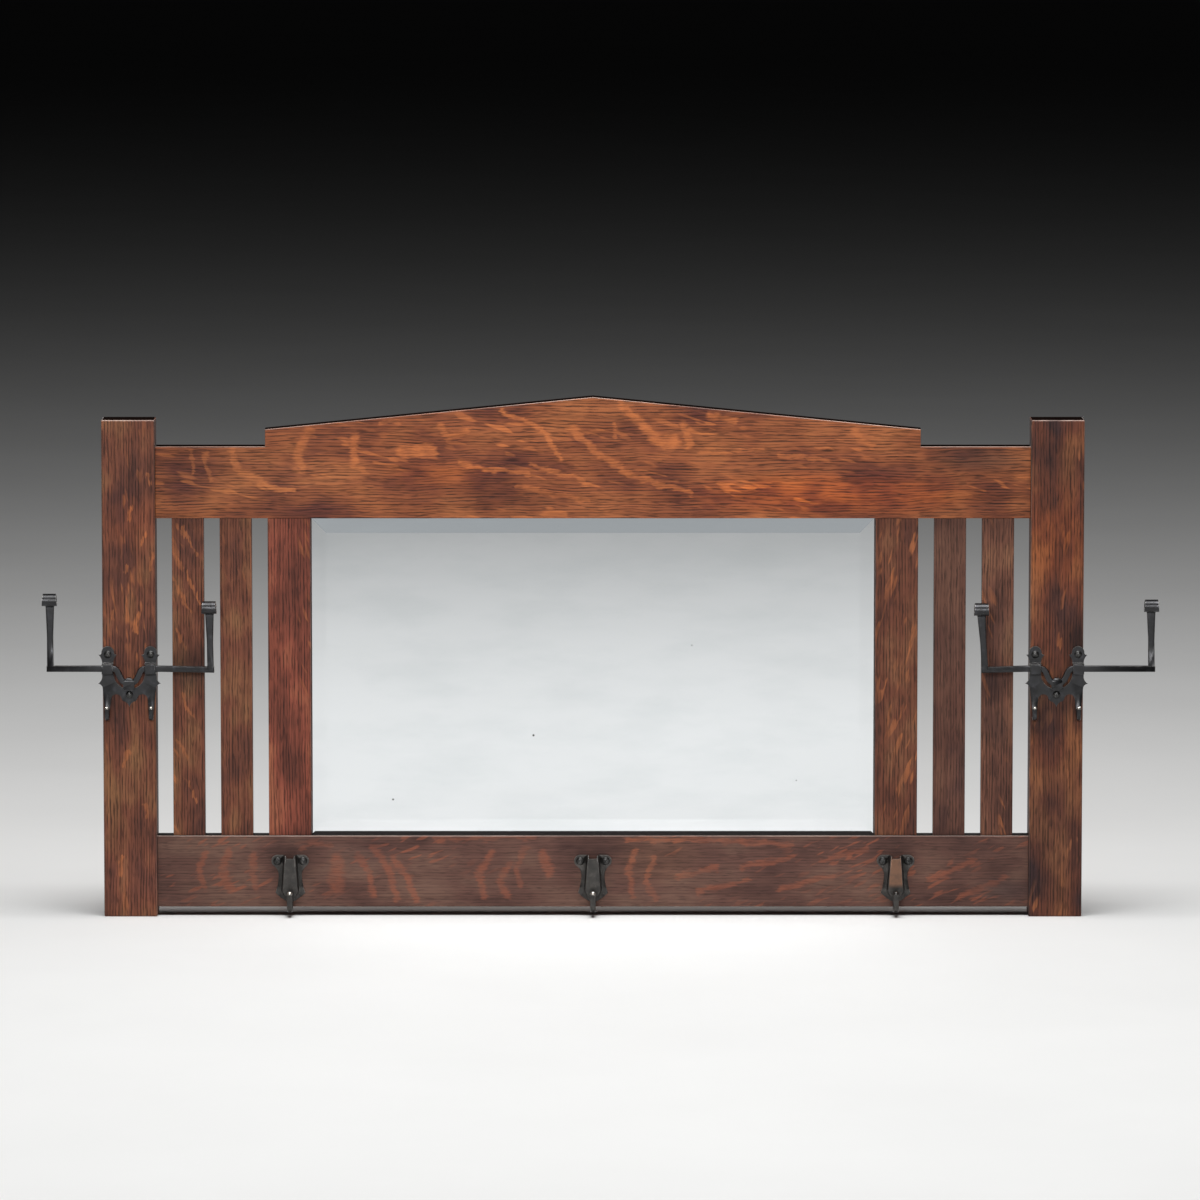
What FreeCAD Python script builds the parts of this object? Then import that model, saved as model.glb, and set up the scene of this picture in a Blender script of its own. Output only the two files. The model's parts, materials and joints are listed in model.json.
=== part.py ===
import FreeCAD, Part
import itertools
import math
import os
from collections import namedtuple

# Oak hall mirror with iron hat fittings and coat hooks, in millimetres.
# X runs to the viewer's right, Y runs from the room into the wall, and Z is up.
# The origin lies on the wall plane, midway between the two keyhole hangers.

Vector = FreeCAD.Vector
Screw = namedtuple("Screw", "head_radius head_height shank_radius length slot_width slot_depth sunk")
Arm = namedtuple("Arm", "reach height forward side_lean forward_lean")

# Posts: width, and rise above the top rail's shoulders
POST_WIDTH = 63.5
POST_RISE = 32.5
POST_EDGE_ROUND = 2.0

# Rails: the top rail steps up to a low peaked crest over the mirror
RAIL_THICKNESS = 22.0
RAIL_SETBACK = 8.0
BOTTOM_RAIL_LIFT = 10.5
BOTTOM_RAIL_HEIGHT = 86.0
TOP_RAIL_HEIGHT = 86.0
CREST_STEP = 20.5
CREST_RISE = 38.5
CREST_OVERHANG = 2.5
BOARD_EDGE_ROUND = 1.2

# Opening for the mirror, the stiles beside it, and the slats between stile and post
SIGHT_WIDTH = 673.0
SIGHT_HEIGHT = 382.0
STILE_WIDTH = 50.8
SLAT_WIDTH = 38.1
SLAT_THICKNESS = 13.0
SLAT_GAP = 19.0
SLAT_SETBACK = 4.5

# Mortise and tenon joints
RAIL_TENON_THICKNESS = 9.0
RAIL_TENON_LENGTH = 35.0
RAIL_TENON_SHOULDER = 9.0
SLAT_TENON_THICKNESS = 7.0
SLAT_TENON_LENGTH = 12.0
SLAT_TENON_SHOULDER = 5.0
GLUE_GAP = 0.1
MORTISE_SPARE = 0.8

# Bevelled mirror plate in a rebate behind the lips of the rails and stiles
LIP_THICKNESS = 11.0
REBATE_WIDTH = 7.0
GLASS_THICKNESS = 6.0
GLASS_EDGE_GAP = 0.5
GLASS_SEAT_GAP = 0.05
BEVEL_WIDTH = 25.0
BEVEL_DEPTH = 3.0

# Triangular glue blocks that wedge the glass against the lips
WEDGE_LENGTH = 46.0
WEDGE_FOOT = 13.0
WEDGES_ALONG_RAIL = 4
WEDGES_ALONG_STILE = 2

# Ship-lapped backboards on the backs of the rails and stiles
BACKBOARD_NAMES = ("lower", "middle", "upper")
BACKBOARD_THICKNESS = 7.0
BACKBOARD_WALL_GAP = 1.0
BACKBOARD_OVERLAP = 24.0
BACKBOARD_LAP = 9.0
BACKBOARD_SEAM = 0.3
RAIL_SCREW_COUNT = 5
RAIL_SCREW_INSET = 40.0

# Keyhole hangers let into the backs of the posts, below the top rail
HANGER_BELOW_RAIL = 13.5
HANGER_WIDTH = 24.0
HANGER_LENGTH = 64.0
HANGER_THICKNESS = 2.5
HANGER_CORNER = 3.0
HANGER_LET_IN_GAP = 0.15
HANGER_SCREW_PITCH = 50.0
KEYHOLE_RADIUS = 5.5
KEYHOLE_SLOT_WIDTH = 5.6
KEYHOLE_DROP = 12.0
KEYHOLE_POCKET_MARGIN = 1.0
KEYHOLE_POCKET_DEPTH = 10.0

# Hat bars: bent bar that sags in the middle and ends in uprights with rolled scrolls
HAT_BAR_HEIGHT = 300.0
BAR_SIZE = 7.0
BAR_EDGE_ROUND = 1.0
BAR_CLEARANCE = 0.3
BAR_STRAIGHT = 6.0
SAG_DEPTH = 17.5
SAG_SLOPE = 65.0
SAG_TOP_RADIUS = 6.0
SAG_BOTTOM_RADIUS = 11.0
RUN_END_PAST = 0.5
UPRIGHT_FOOT_WIDTH = 7.6
UPRIGHT_FOOT_THICKNESS = 6.4
UPRIGHT_WAIST_WIDTH = 7.4
UPRIGHT_WAIST_THICKNESS = 6.0
UPRIGHT_NECK_WIDTH = 10.0
UPRIGHT_NECK_THICKNESS = 4.6
SCROLL_TOP_WIDTH = 15.2
SCROLL_LIP_WIDTH = 18.4
SCROLL_THICKNESS = 2.6
SCROLL_RADIUS = 6.9
SCROLL_STEP = 1.65
SCROLL_FLARE = 9.0

# Arms of the hat bars: reach from the post's middle, scroll height, forward bend and leans
LEFT_OUTER_REACH = 93.5
LEFT_OUTER_HEIGHT = 91.0
LEFT_OUTER_FORWARD_LEAN = 1.0
LEFT_INNER_REACH = 97.5
LEFT_INNER_HEIGHT = 83.0
LEFT_INNER_FORWARD = 7.0
LEFT_INNER_SIDE_LEAN = 1.0
LEFT_INNER_FORWARD_LEAN = 2.0
RIGHT_INNER_REACH = 86.0
RIGHT_INNER_HEIGHT = 81.0
RIGHT_INNER_FORWARD = 9.0
RIGHT_INNER_SIDE_LEAN = 5.0
RIGHT_INNER_FORWARD_LEAN = 2.0
RIGHT_OUTER_REACH = 112.5
RIGHT_OUTER_HEIGHT = 84.0
RIGHT_OUTER_SIDE_LEAN = 1.0
RIGHT_OUTER_FORWARD_LEAN = 1.0
LEFT_BAR_ARMS = (
    Arm(reach=-LEFT_OUTER_REACH, height=LEFT_OUTER_HEIGHT, forward=0.0,
        side_lean=0.0, forward_lean=LEFT_OUTER_FORWARD_LEAN),
    Arm(reach=LEFT_INNER_REACH, height=LEFT_INNER_HEIGHT, forward=LEFT_INNER_FORWARD,
        side_lean=-LEFT_INNER_SIDE_LEAN, forward_lean=LEFT_INNER_FORWARD_LEAN))
RIGHT_BAR_ARMS = (
    Arm(reach=-RIGHT_INNER_REACH, height=RIGHT_INNER_HEIGHT, forward=RIGHT_INNER_FORWARD,
        side_lean=-RIGHT_INNER_SIDE_LEAN, forward_lean=RIGHT_INNER_FORWARD_LEAN),
    Arm(reach=RIGHT_OUTER_REACH, height=RIGHT_OUTER_HEIGHT, forward=0.0,
        side_lean=-RIGHT_OUTER_SIDE_LEAN, forward_lean=RIGHT_OUTER_FORWARD_LEAN))

# Hat plates: pressed iron with two straps over the bar and a tongue rolled over its sag
PLATE_THICKNESS = 2.5
STRAP_WIDTH = 13.5
STRAP_OFFSET = 25.5
STRAP_EDGE_ROUND = 1.6
LOBE_DOME_HALF = 7.4
LOBE_DOME_BASE = 19.0
LOBE_DOME_RISE = 7.4
LOBE_SPUR_REACH = 10.8
LOBE_SPUR_HEIGHT = 16.0
SPUR_BOW = 1.1
BODY_SPUR_REACH = 37.2
BODY_SPUR_DROP = 18.6
BODY_NECK_DROP = 10.5
BODY_WAIST_HALF = 31.8
BODY_WAIST_DROP = 23.2
BODY_LEG_DROP = 52.0
LEG_TOP_INNER = 21.8
ARCH_FOOT_DROP = 37.0
ARCH_INNER = 9.2
ARCH_RISE = 5.8
LEAF_SHOULDER_HALF = 7.8
LEAF_SHOULDER_DROP = 39.3
LEAF_TIP_DROP = 46.6
LEAF_BOW = 1.6
TONGUE_NECK_WIDTH = 4.4
TONGUE_ROOT_WIDTH = 11.0
FLAP_WIDTH = 13.4
FLAP_SHOULDER_DROP = 4.6
FLAP_SHOULDER_BOW = 0.9
FLAP_FOOT_WIDTH = 8.0
FLAP_FOOT_RISE = 3.6
FLAP_FOOT_BOW = 0.7
FLAP_OVERHANG = 4.4

# Small forward hooks at the ends of the hat plate's legs
LEG_HOOK_WIDTH = 5.0
LEG_HOOK_THICKNESS = 3.0
LEG_HOOK_OFFSET = 26.2
LEG_HOOK_RADIUS = 6.0
LEG_HOOK_DROP = 54.5
LEG_HOOK_RISE = 7.5
LEG_HOOK_ROOT = 6.0
LEG_HOOK_TIP_RADIUS = 2.6

# Coat hooks: plate with two ears, hollow tapered rib, and a J prong with a ball tip
COAT_HOOK_TOP = 73.5
COAT_PLATE_THICKNESS = 2.5
EAR_RADIUS = 7.2
EAR_OFFSET = 15.2
WAIST_HALF = 13.7
WAIST_DROP = 24.0
WAIST_BOW = 1.6
FLARE_HALF = 17.7
FLARE_DROP = 45.6
FLARE_BOW = 0.9
COAT_FOOT_HALF = 5.0
COAT_FOOT_DROP = 55.5
COAT_FOOT_BOW = 0.6
RIB_WALL = 1.6
RIB_TOP_BASE_HALF = 8.3
RIB_TOP_FACE_HALF = 6.4
RIB_TOP_DEPTH = 12.0
RIB_LOW_BASE_HALF = 12.0
RIB_LOW_FACE_HALF = 9.2
RIB_LOW_DEPTH = 8.0
RIB_LOW_DROP = 43.0
RIB_FOOT_FACE_HALF = 2.8
RIB_EDGE_ROUND = 1.6
RIB_NOTCH_HALF = 4.6
RIB_NOTCH_DROP = 3.2
PRONG_WIDTH = 6.8
PRONG_THICKNESS = 4.4
PRONG_EDGE_ROUND = 1.3
PRONG_ROOT_DROP = 52.0
PRONG_TURN_DROP = 57.0
PRONG_TURN_RADIUS = 8.6
PRONG_TIP_DROP = 44.5
PRONG_TIP_LEAN = 1.5
PRONG_BALL_RADIUS = 3.4

# Slotted wood screws
SCREW_GAP = 0.1
SCREW_TIP_TAPER = 4.0
HAT_SCREW = Screw(head_radius=4.6, head_height=2.2, shank_radius=2.2, length=24.0,
                  slot_width=1.1, slot_depth=1.3, sunk=False)
COAT_SCREW = Screw(head_radius=5.1, head_height=2.4, shank_radius=2.2, length=18.0,
                   slot_width=1.2, slot_depth=1.4, sunk=False)
BACKBOARD_SCREW = Screw(head_radius=3.4, head_height=2.0, shank_radius=1.6, length=17.0,
                        slot_width=0.8, slot_depth=0.9, sunk=True)
HANGER_SCREW = Screw(head_radius=3.6, head_height=2.0, shank_radius=1.8, length=18.0,
                     slot_width=0.9, slot_depth=1.0, sunk=True)
# Turns of the slots from upright, clockwise and in degrees
HAT_SCREW_TURNS = (0.0,)
COAT_SCREW_TURNS = (30.0, 105.0, 86.0, 65.0, 0.0, 90.0)
BACK_SCREW_TURNS = (15.0, 70.0, 40.0, 110.0, 150.0)
HAT_LOBE_SCREW_RISE = 16.6
HAT_LEAF_SCREW_DROP = 32.0

# Places in depth, from the room to the wall
RAIL_BACK = -(BACKBOARD_THICKNESS + BACKBOARD_WALL_GAP)
RAIL_FRONT = RAIL_BACK - RAIL_THICKNESS
POST_FRONT = RAIL_FRONT - RAIL_SETBACK
SLAT_FRONT = RAIL_FRONT + SLAT_SETBACK
LIP_BACK = RAIL_FRONT + LIP_THICKNESS
GLASS_COVER = REBATE_WIDTH - GLASS_EDGE_GAP
BEVEL_AT_LIP = BEVEL_DEPTH * (1 - GLASS_COVER / BEVEL_WIDTH)
GLASS_FRONT = LIP_BACK + GLASS_SEAT_GAP - BEVEL_AT_LIP
GLASS_BACK = GLASS_FRONT + GLASS_THICKNESS
BACKBOARD_BACK = RAIL_BACK + BACKBOARD_THICKNESS

# Places in height, from the round ends of the keyholes
HANGER_MIDDLE = KEYHOLE_DROP / 2
SIGHT_TOP = HANGER_MIDDLE + HANGER_LENGTH / 2 + HANGER_BELOW_RAIL
SIGHT_BOTTOM = SIGHT_TOP - SIGHT_HEIGHT
BOTTOM_RAIL_UNDER = SIGHT_BOTTOM - BOTTOM_RAIL_HEIGHT
FOOT = BOTTOM_RAIL_UNDER - BOTTOM_RAIL_LIFT
SHOULDER_TOP = SIGHT_TOP + TOP_RAIL_HEIGHT
STEP_TOP = SHOULDER_TOP + CREST_STEP
PEAK = STEP_TOP + CREST_RISE
POST_TOP = SHOULDER_TOP + POST_RISE

# Places across, from the middle to the right
STILE_INNER = SIGHT_WIDTH / 2
STILE_OUTER = STILE_INNER + STILE_WIDTH
STILE_CENTRE = STILE_INNER + STILE_WIDTH / 2
INNER_SLAT_CENTRE = STILE_OUTER + SLAT_GAP + SLAT_WIDTH / 2
OUTER_SLAT_CENTRE = INNER_SLAT_CENTRE + SLAT_WIDTH + SLAT_GAP
POST_INNER = OUTER_SLAT_CENTRE + SLAT_WIDTH / 2 + SLAT_GAP
POST_CENTRE = POST_INNER + POST_WIDTH / 2
CREST_HALF = STILE_OUTER + CREST_OVERHANG

# Hat fitting sizes that follow the bar
BAR_BACK = PLATE_THICKNESS + BAR_CLEARANCE
BAR_AXIS_OUT = BAR_BACK + BAR_SIZE / 2
STRAP_INSIDE = BAR_BACK + BAR_SIZE + BAR_CLEARANCE
STRAP_OUTSIDE = STRAP_INSIDE + PLATE_THICKNESS
WINDOW_HALF = BAR_SIZE / 2 + BAR_CLEARANCE
STRAP_HALF = WINDOW_HALF + PLATE_THICKNESS
STRAP_INNER = STRAP_OFFSET - STRAP_WIDTH / 2
STRAP_OUTER = STRAP_OFFSET + STRAP_WIDTH / 2

ACROSS = Vector(1, 0, 0)
INTO_WALL = Vector(0, 1, 0)
UP = Vector(0, 0, 1)
ORIGIN = Vector(0, 0, 0)
TOLERANCE = 1e-6


def block(x_span, y_span, z_span):
    """Box between three pairs of limits."""
    low = Vector(x_span[0], y_span[0], z_span[0])
    high = Vector(x_span[1], y_span[1], z_span[1])
    size = high - low
    return Part.makeBox(size.x, size.y, size.z, low)


def grown(span, gap):
    """Pair of limits, moved apart by the gap on both sides."""
    return (span[0] - gap, span[1] + gap)


def around(centre, width):
    """Pair of limits about a centre."""
    return (centre - width / 2, centre + width / 2)


def in_front_plane(depth):
    """Place outline points in an upright plane at this depth."""
    return lambda across, height: Vector(across, depth, height)


def in_side_plane(across):
    """Place outline points of depth and height in a plane square to X."""
    return lambda depth, height: Vector(across, depth, height)


def in_level_plane(height):
    """Place outline points of width and depth at this height."""
    return lambda across, depth: Vector(across, depth, height)


def outline_edge(start, end, place):
    """Line to the end point, or an arc where the end has a third number, its bow to the left of travel."""
    if len(end) == 2:
        return Part.LineSegment(place(*start[:2]), place(*end)).toShape()
    run = (end[0] - start[0], end[1] - start[1])
    length = math.hypot(*run)
    middle = ((start[0] + end[0]) / 2 - end[2] * run[1] / length,
              (start[1] + end[1]) / 2 + end[2] * run[0] / length)
    return Part.Arc(place(*start[:2]), place(*middle), place(*end[:2])).toShape()


def open_path(points, place):
    """Wire through the points, in order."""
    return Part.Wire([outline_edge(start, end, place) for start, end in zip(points, points[1:])])


def outline(points, place):
    """Closed face through the points, in order."""
    return Part.Face(open_path(points + [points[0][:2]], place))


def quarter_bow(radius):
    """Bow of a quarter circle over its chord."""
    return radius * (1 - math.sqrt(0.5))


def rounded_corner(before, corner, after, radius):
    """Start and end of the arc that rounds one corner of an outline."""
    point = Vector(*corner)
    back = (Vector(*before) - point).normalize()
    ahead = (Vector(*after) - point).normalize()
    half_angle = back.getAngle(ahead) / 2
    reach = radius / math.tan(half_angle)
    bow = math.copysign(radius * (1 - math.sin(half_angle)), back.cross(ahead).z)
    start = point + back * reach
    end = point + ahead * reach
    return [(start.x, start.y), (end.x, end.y, bow)]


def rounded_section(centre, wide, deep, width, depth, radius):
    """Wire of a rounded rectangle that is centred on a point and lies in two directions."""
    half_width = width / 2
    half_depth = depth / 2
    bow = quarter_bow(radius)
    points = [(-half_width + radius, half_depth), (half_width - radius, half_depth),
              (half_width, half_depth - radius, bow), (half_width, -half_depth + radius),
              (half_width - radius, -half_depth, bow), (-half_width + radius, -half_depth),
              (-half_width, -half_depth + radius, bow), (-half_width, half_depth - radius),
              (-half_width + radius, half_depth, bow)]
    return open_path(points, lambda a, b: centre + wide * a + deep * b)


def swept(path, section):
    """Solid of one section along a path."""
    return path.makePipeShell([section], True, False)


def mirrored(shape):
    """Copy on the other side of the middle plane."""
    return shape.mirror(ORIGIN, ACROSS)


def fused(shapes):
    """One clean solid of shapes that meet."""
    whole = shapes[0].fuse(shapes[1:]) if len(shapes) > 1 else shapes[0]
    return whole.removeSplitter()


def less(shape, cutters):
    """Shape with the cutters taken out."""
    return shape.cut(cutters) if cutters else shape


def eased(shape, radius, direction):
    """Board with rounded edges along one direction."""
    edges = []
    for edge in shape.Edges:
        along = edge.tangentAt(edge.FirstParameter)
        if along.cross(direction).Length < TOLERANCE:
            edges.append(edge)
    return shape.makeFillet(radius, edges)


def screw_body(screw, gap):
    """Screw, or the hole for it where a gap is given, with its head on the origin and towards +Z."""
    shank = screw.shank_radius + gap
    taper_top = -screw.length + SCREW_TIP_TAPER
    tip = [(shank, taper_top), (0, -screw.length - gap)]
    if screw.sunk:
        rim = screw.head_radius + gap
        points = [(0, 0), (rim, 0), (shank, -screw.head_height)] + tip
    elif gap:
        points = [(0, screw.head_height), (shank, screw.head_height)] + tip
    else:
        half_chord = math.hypot(screw.head_radius, screw.head_height) / 2
        dome_radius = half_chord ** 2 * 2 / screw.head_height
        bow = dome_radius - math.sqrt(dome_radius ** 2 - half_chord ** 2)
        points = [(0, screw.head_height), (screw.head_radius, 0, bow), (shank, 0)] + tip
    return outline(points, in_front_plane(0)).revolve(ORIGIN, UP, 360)


def screw_slot(screw):
    """Cutter for the slot across a screw's head."""
    top = 0 if screw.sunk else screw.head_height
    reach = grown((0, 0), 2 * screw.head_radius)
    return block(around(0, screw.slot_width), reach, (top - screw.slot_depth, 2 * screw.head_radius))


def facing(shape, place, from_room):
    """Turn a shape that faces +Z to the room or to the wall and put it at its place."""
    turned = shape.copy()
    turned.rotate(ORIGIN, ACROSS, 90 if from_room else -90)
    turned.translate(place)
    return turned


def screws(screw, places, turns, from_room):
    """Group of like screws, whose slots take the turns one after another."""
    group = []
    for place, turn in zip(places, itertools.cycle(turns)):
        solid = screw_body(screw, 0).cut(screw_slot(screw))
        solid.rotate(ORIGIN, UP, -turn)
        group.append(facing(solid, place, from_room))
    return Part.makeCompound(group)


def screw_holes(screw, places, from_room):
    """Cutters for like screws."""
    hole = screw_body(screw, SCREW_GAP)
    return [facing(hole, place, from_room) for place in places]


# Screw places

def hat_screw_places(side):
    """Two screws in the lobes and one in the leaf of a hat plate."""
    seat = POST_FRONT - PLATE_THICKNESS
    axis = FOOT + HAT_BAR_HEIGHT
    spots = [(-STRAP_OFFSET, HAT_LOBE_SCREW_RISE), (STRAP_OFFSET, HAT_LOBE_SCREW_RISE),
             (0, -HAT_LEAF_SCREW_DROP)]
    return [Vector(side * POST_CENTRE + across, seat, axis + rise) for across, rise in spots]


def coat_hook_centres():
    """Middles of the coat hooks: under each stile and under the peak."""
    return (-STILE_CENTRE, 0.0, STILE_CENTRE)


def coat_screw_places():
    """Two screws in the ears of each coat hook."""
    seat = RAIL_FRONT - COAT_PLATE_THICKNESS
    height = FOOT + COAT_HOOK_TOP - EAR_RADIUS
    return [Vector(centre + side * EAR_OFFSET, seat, height)
            for centre in coat_hook_centres() for side in (-1, 1)]


def hanger_screw_places(side):
    """Screws above and below a keyhole."""
    return [Vector(side * POST_CENTRE, 0, HANGER_MIDDLE + end * HANGER_SCREW_PITCH / 2) for end in (-1, 1)]


def backboard_limits():
    """Lower limits of the backboards and the top of the last one."""
    low = SIGHT_BOTTOM - BACKBOARD_OVERLAP
    pitch = (SIGHT_HEIGHT + 2 * BACKBOARD_OVERLAP) / len(BACKBOARD_NAMES)
    return [low + number * pitch for number in range(len(BACKBOARD_NAMES) + 1)]


def backboard_screw_places():
    """Row of screws into each rail and one screw at each end of each board."""
    inset = (REBATE_WIDTH + BACKBOARD_OVERLAP) / 2
    reach = STILE_INNER - RAIL_SCREW_INSET
    pitch = 2 * reach / (RAIL_SCREW_COUNT - 1)
    places = []
    for number in range(RAIL_SCREW_COUNT):
        across = -reach + number * pitch
        places.append(Vector(across, BACKBOARD_BACK, SIGHT_BOTTOM - inset))
        places.append(Vector(across, BACKBOARD_BACK, SIGHT_TOP + inset))
    limits = backboard_limits()
    for low, high in zip(limits, limits[1:]):
        for side in (-1, 1):
            places.append(Vector(side * (STILE_INNER + inset), BACKBOARD_BACK, (low + high) / 2))
    return places


# Joinery

def rail_tenon_spans(under, height):
    """Depth and height limits of a rail's tenon."""
    depth = around((RAIL_FRONT + RAIL_BACK) / 2, RAIL_TENON_THICKNESS)
    return depth, grown((under, under + height), -RAIL_TENON_SHOULDER)


def rail_tenon(side, under, height):
    """Tenon on one end of a rail."""
    depth, rise = rail_tenon_spans(under, height)
    span = sorted((side * POST_INNER, side * (POST_INNER + RAIL_TENON_LENGTH)))
    return block(span, depth, rise)


def rail_mortise(side, under, height):
    """Mortise in a post for a rail's tenon."""
    depth, rise = rail_tenon_spans(under, height)
    span = sorted((side * POST_INNER, side * (POST_INNER + RAIL_TENON_LENGTH + MORTISE_SPARE)))
    return block(span, grown(depth, GLUE_GAP), grown(rise, GLUE_GAP))


def slat_tenon_depth():
    """Depth limits of the tenons of slats and stiles."""
    return around(SLAT_FRONT + SLAT_THICKNESS / 2, SLAT_TENON_THICKNESS)


def slat_tenon_span(centre):
    """Limits across of a slat's tenons."""
    return around(centre, SLAT_WIDTH - 2 * SLAT_TENON_SHOULDER)


def stile_tenon_span(side):
    """Limits across of a stile's tenons, clear of its rebate."""
    inner = STILE_INNER + REBATE_WIDTH + SLAT_TENON_SHOULDER
    return sorted((side * inner, side * (STILE_OUTER - SLAT_TENON_SHOULDER)))


def upright_tenon_spans():
    """Limits across of the tenons of every slat and stile."""
    spans = []
    for side in (-1, 1):
        spans += [slat_tenon_span(side * centre) for centre in (INNER_SLAT_CENTRE, OUTER_SLAT_CENTRE)]
        spans.append(stile_tenon_span(side))
    return spans


def upright_tenons(span):
    """Tenons at the top and bottom of a slat or stile."""
    depth = slat_tenon_depth()
    return [block(span, depth, (SIGHT_TOP, SIGHT_TOP + SLAT_TENON_LENGTH)),
            block(span, depth, (SIGHT_BOTTOM - SLAT_TENON_LENGTH, SIGHT_BOTTOM))]


def upright_mortises(edge, direction):
    """Mortises in a rail for the slats and stiles."""
    depth = grown(slat_tenon_depth(), GLUE_GAP)
    rise = sorted((edge, edge + direction * (SLAT_TENON_LENGTH + MORTISE_SPARE)))
    return [block(grown(span, GLUE_GAP), depth, rise) for span in upright_tenon_spans()]


def glass_rebate():
    """Space behind the lips that takes the glass and its wedges."""
    across = grown((-STILE_INNER, STILE_INNER), REBATE_WIDTH)
    rise = grown((SIGHT_BOTTOM, SIGHT_TOP), REBATE_WIDTH)
    return block(across, (LIP_BACK, 0), rise)


# Oak frame

def keyhole_path(radius):
    """Slot shape of one radius from the keyhole's round end up to its hanging end."""
    points = [(-radius, 0), (radius, 0, -radius), (radius, KEYHOLE_DROP), (-radius, KEYHOLE_DROP, -radius)]
    return outline(points, in_front_plane(0))


def hanger_let_in(side):
    """Cutters in a post's back for the hanger plate and the screw head behind its keyhole."""
    across = grown(around(side * POST_CENTRE, HANGER_WIDTH), HANGER_LET_IN_GAP)
    rise = grown(around(HANGER_MIDDLE, HANGER_LENGTH), HANGER_LET_IN_GAP)
    seat = eased(block(across, (-HANGER_THICKNESS, HANGER_THICKNESS), rise), HANGER_CORNER, INTO_WALL)
    pocket = keyhole_path(KEYHOLE_RADIUS + KEYHOLE_POCKET_MARGIN)
    pocket = pocket.extrude(INTO_WALL * -(HANGER_THICKNESS + KEYHOLE_POCKET_DEPTH))
    pocket.translate(ACROSS * (side * POST_CENTRE))
    return [seat, pocket]


def post(side):
    """Post with mortises for both rails, a let-in for its hanger and screw holes."""
    blank = block(around(side * POST_CENTRE, POST_WIDTH), (POST_FRONT, 0), (FOOT, POST_TOP))
    blank = blank.makeFillet(POST_EDGE_ROUND, blank.Edges)
    mortises = [rail_mortise(side, SIGHT_TOP, TOP_RAIL_HEIGHT),
                rail_mortise(side, BOTTOM_RAIL_UNDER, BOTTOM_RAIL_HEIGHT)]
    holes = screw_holes(HAT_SCREW, hat_screw_places(side), True)
    holes += screw_holes(HANGER_SCREW, hanger_screw_places(side), False)
    return less(blank, mortises + hanger_let_in(side) + holes)


def eased_crest(board):
    """Top rail board with its front and back edges rounded, except at the ends."""
    edges = []
    for edge in board.Edges:
        along = edge.tangentAt(edge.FirstParameter)
        at_end = abs(abs(edge.CenterOfMass.x) - POST_INNER) < BOARD_EDGE_ROUND
        if abs(along.y) < TOLERANCE and not at_end:
            edges.append(edge)
    return board.makeFillet(BOARD_EDGE_ROUND, edges)


def top_rail():
    """Board with square shoulders and a peaked crest, tenoned into the posts."""
    half = [(POST_INNER, SIGHT_TOP), (POST_INNER, SHOULDER_TOP),
            (CREST_HALF, SHOULDER_TOP), (CREST_HALF, STEP_TOP)]
    other_half = [(-across, height) for across, height in reversed(half)]
    board = outline(half + [(0, PEAK)] + other_half, in_front_plane(RAIL_FRONT))
    board = eased_crest(board.extrude(INTO_WALL * RAIL_THICKNESS))
    tenons = [rail_tenon(side, SIGHT_TOP, TOP_RAIL_HEIGHT) for side in (-1, 1)]
    holes = screw_holes(BACKBOARD_SCREW, backboard_screw_places(), False)
    return less(fused([board] + tenons), [glass_rebate()] + upright_mortises(SIGHT_TOP, 1) + holes)


def bottom_rail():
    """Straight board, tenoned into the posts, that carries the coat hooks."""
    rise = (BOTTOM_RAIL_UNDER, SIGHT_BOTTOM)
    board = eased(block((-POST_INNER, POST_INNER), (RAIL_FRONT, RAIL_BACK), rise), BOARD_EDGE_ROUND, ACROSS)
    tenons = [rail_tenon(side, BOTTOM_RAIL_UNDER, BOTTOM_RAIL_HEIGHT) for side in (-1, 1)]
    holes = screw_holes(BACKBOARD_SCREW, backboard_screw_places(), False)
    holes += screw_holes(COAT_SCREW, coat_screw_places(), True)
    return less(fused([board] + tenons), [glass_rebate()] + upright_mortises(SIGHT_BOTTOM, -1) + holes)


def slat(centre):
    """Flat slat, tenoned into both rails."""
    depth = (SLAT_FRONT, SLAT_FRONT + SLAT_THICKNESS)
    board = eased(block(around(centre, SLAT_WIDTH), depth, (SIGHT_BOTTOM, SIGHT_TOP)), BOARD_EDGE_ROUND, UP)
    return fused([board] + upright_tenons(slat_tenon_span(centre)))


def stile(side):
    """Wider upright beside the glass, rebated for it and tenoned into both rails."""
    span = sorted((side * STILE_INNER, side * STILE_OUTER))
    board = eased(block(span, (SLAT_FRONT, RAIL_BACK), (SIGHT_BOTTOM, SIGHT_TOP)), BOARD_EDGE_ROUND, UP)
    holes = screw_holes(BACKBOARD_SCREW, backboard_screw_places(), False)
    return less(fused([board] + upright_tenons(stile_tenon_span(side))), [glass_rebate()] + holes)


# Mirror plate and back

def mirror_plate():
    """Glass plate whose front edges slope back in a wide bevel."""
    across = grown((-STILE_INNER, STILE_INNER), GLASS_COVER)
    rise = grown((SIGHT_BOTTOM, SIGHT_TOP), GLASS_COVER)
    edge_front = GLASS_FRONT + BEVEL_DEPTH

    def rectangle(inset, depth):
        left, right = grown(across, -inset)
        low, high = grown(rise, -inset)
        corners = [(left, low), (right, low), (right, high), (left, high), (left, low)]
        return open_path(corners, in_front_plane(depth))

    bevel = Part.makeLoft([rectangle(BEVEL_WIDTH, GLASS_FRONT), rectangle(0, edge_front)], True, True)
    return fused([bevel, block(across, (edge_front, GLASS_BACK), rise)])


def wedge_section(wall, direction):
    """Corner points of a glue block: along the wall of the rebate and along the back of the glass."""
    return [(GLASS_BACK, wall), (RAIL_BACK, wall), (GLASS_BACK, wall - direction * WEDGE_FOOT)]


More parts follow.
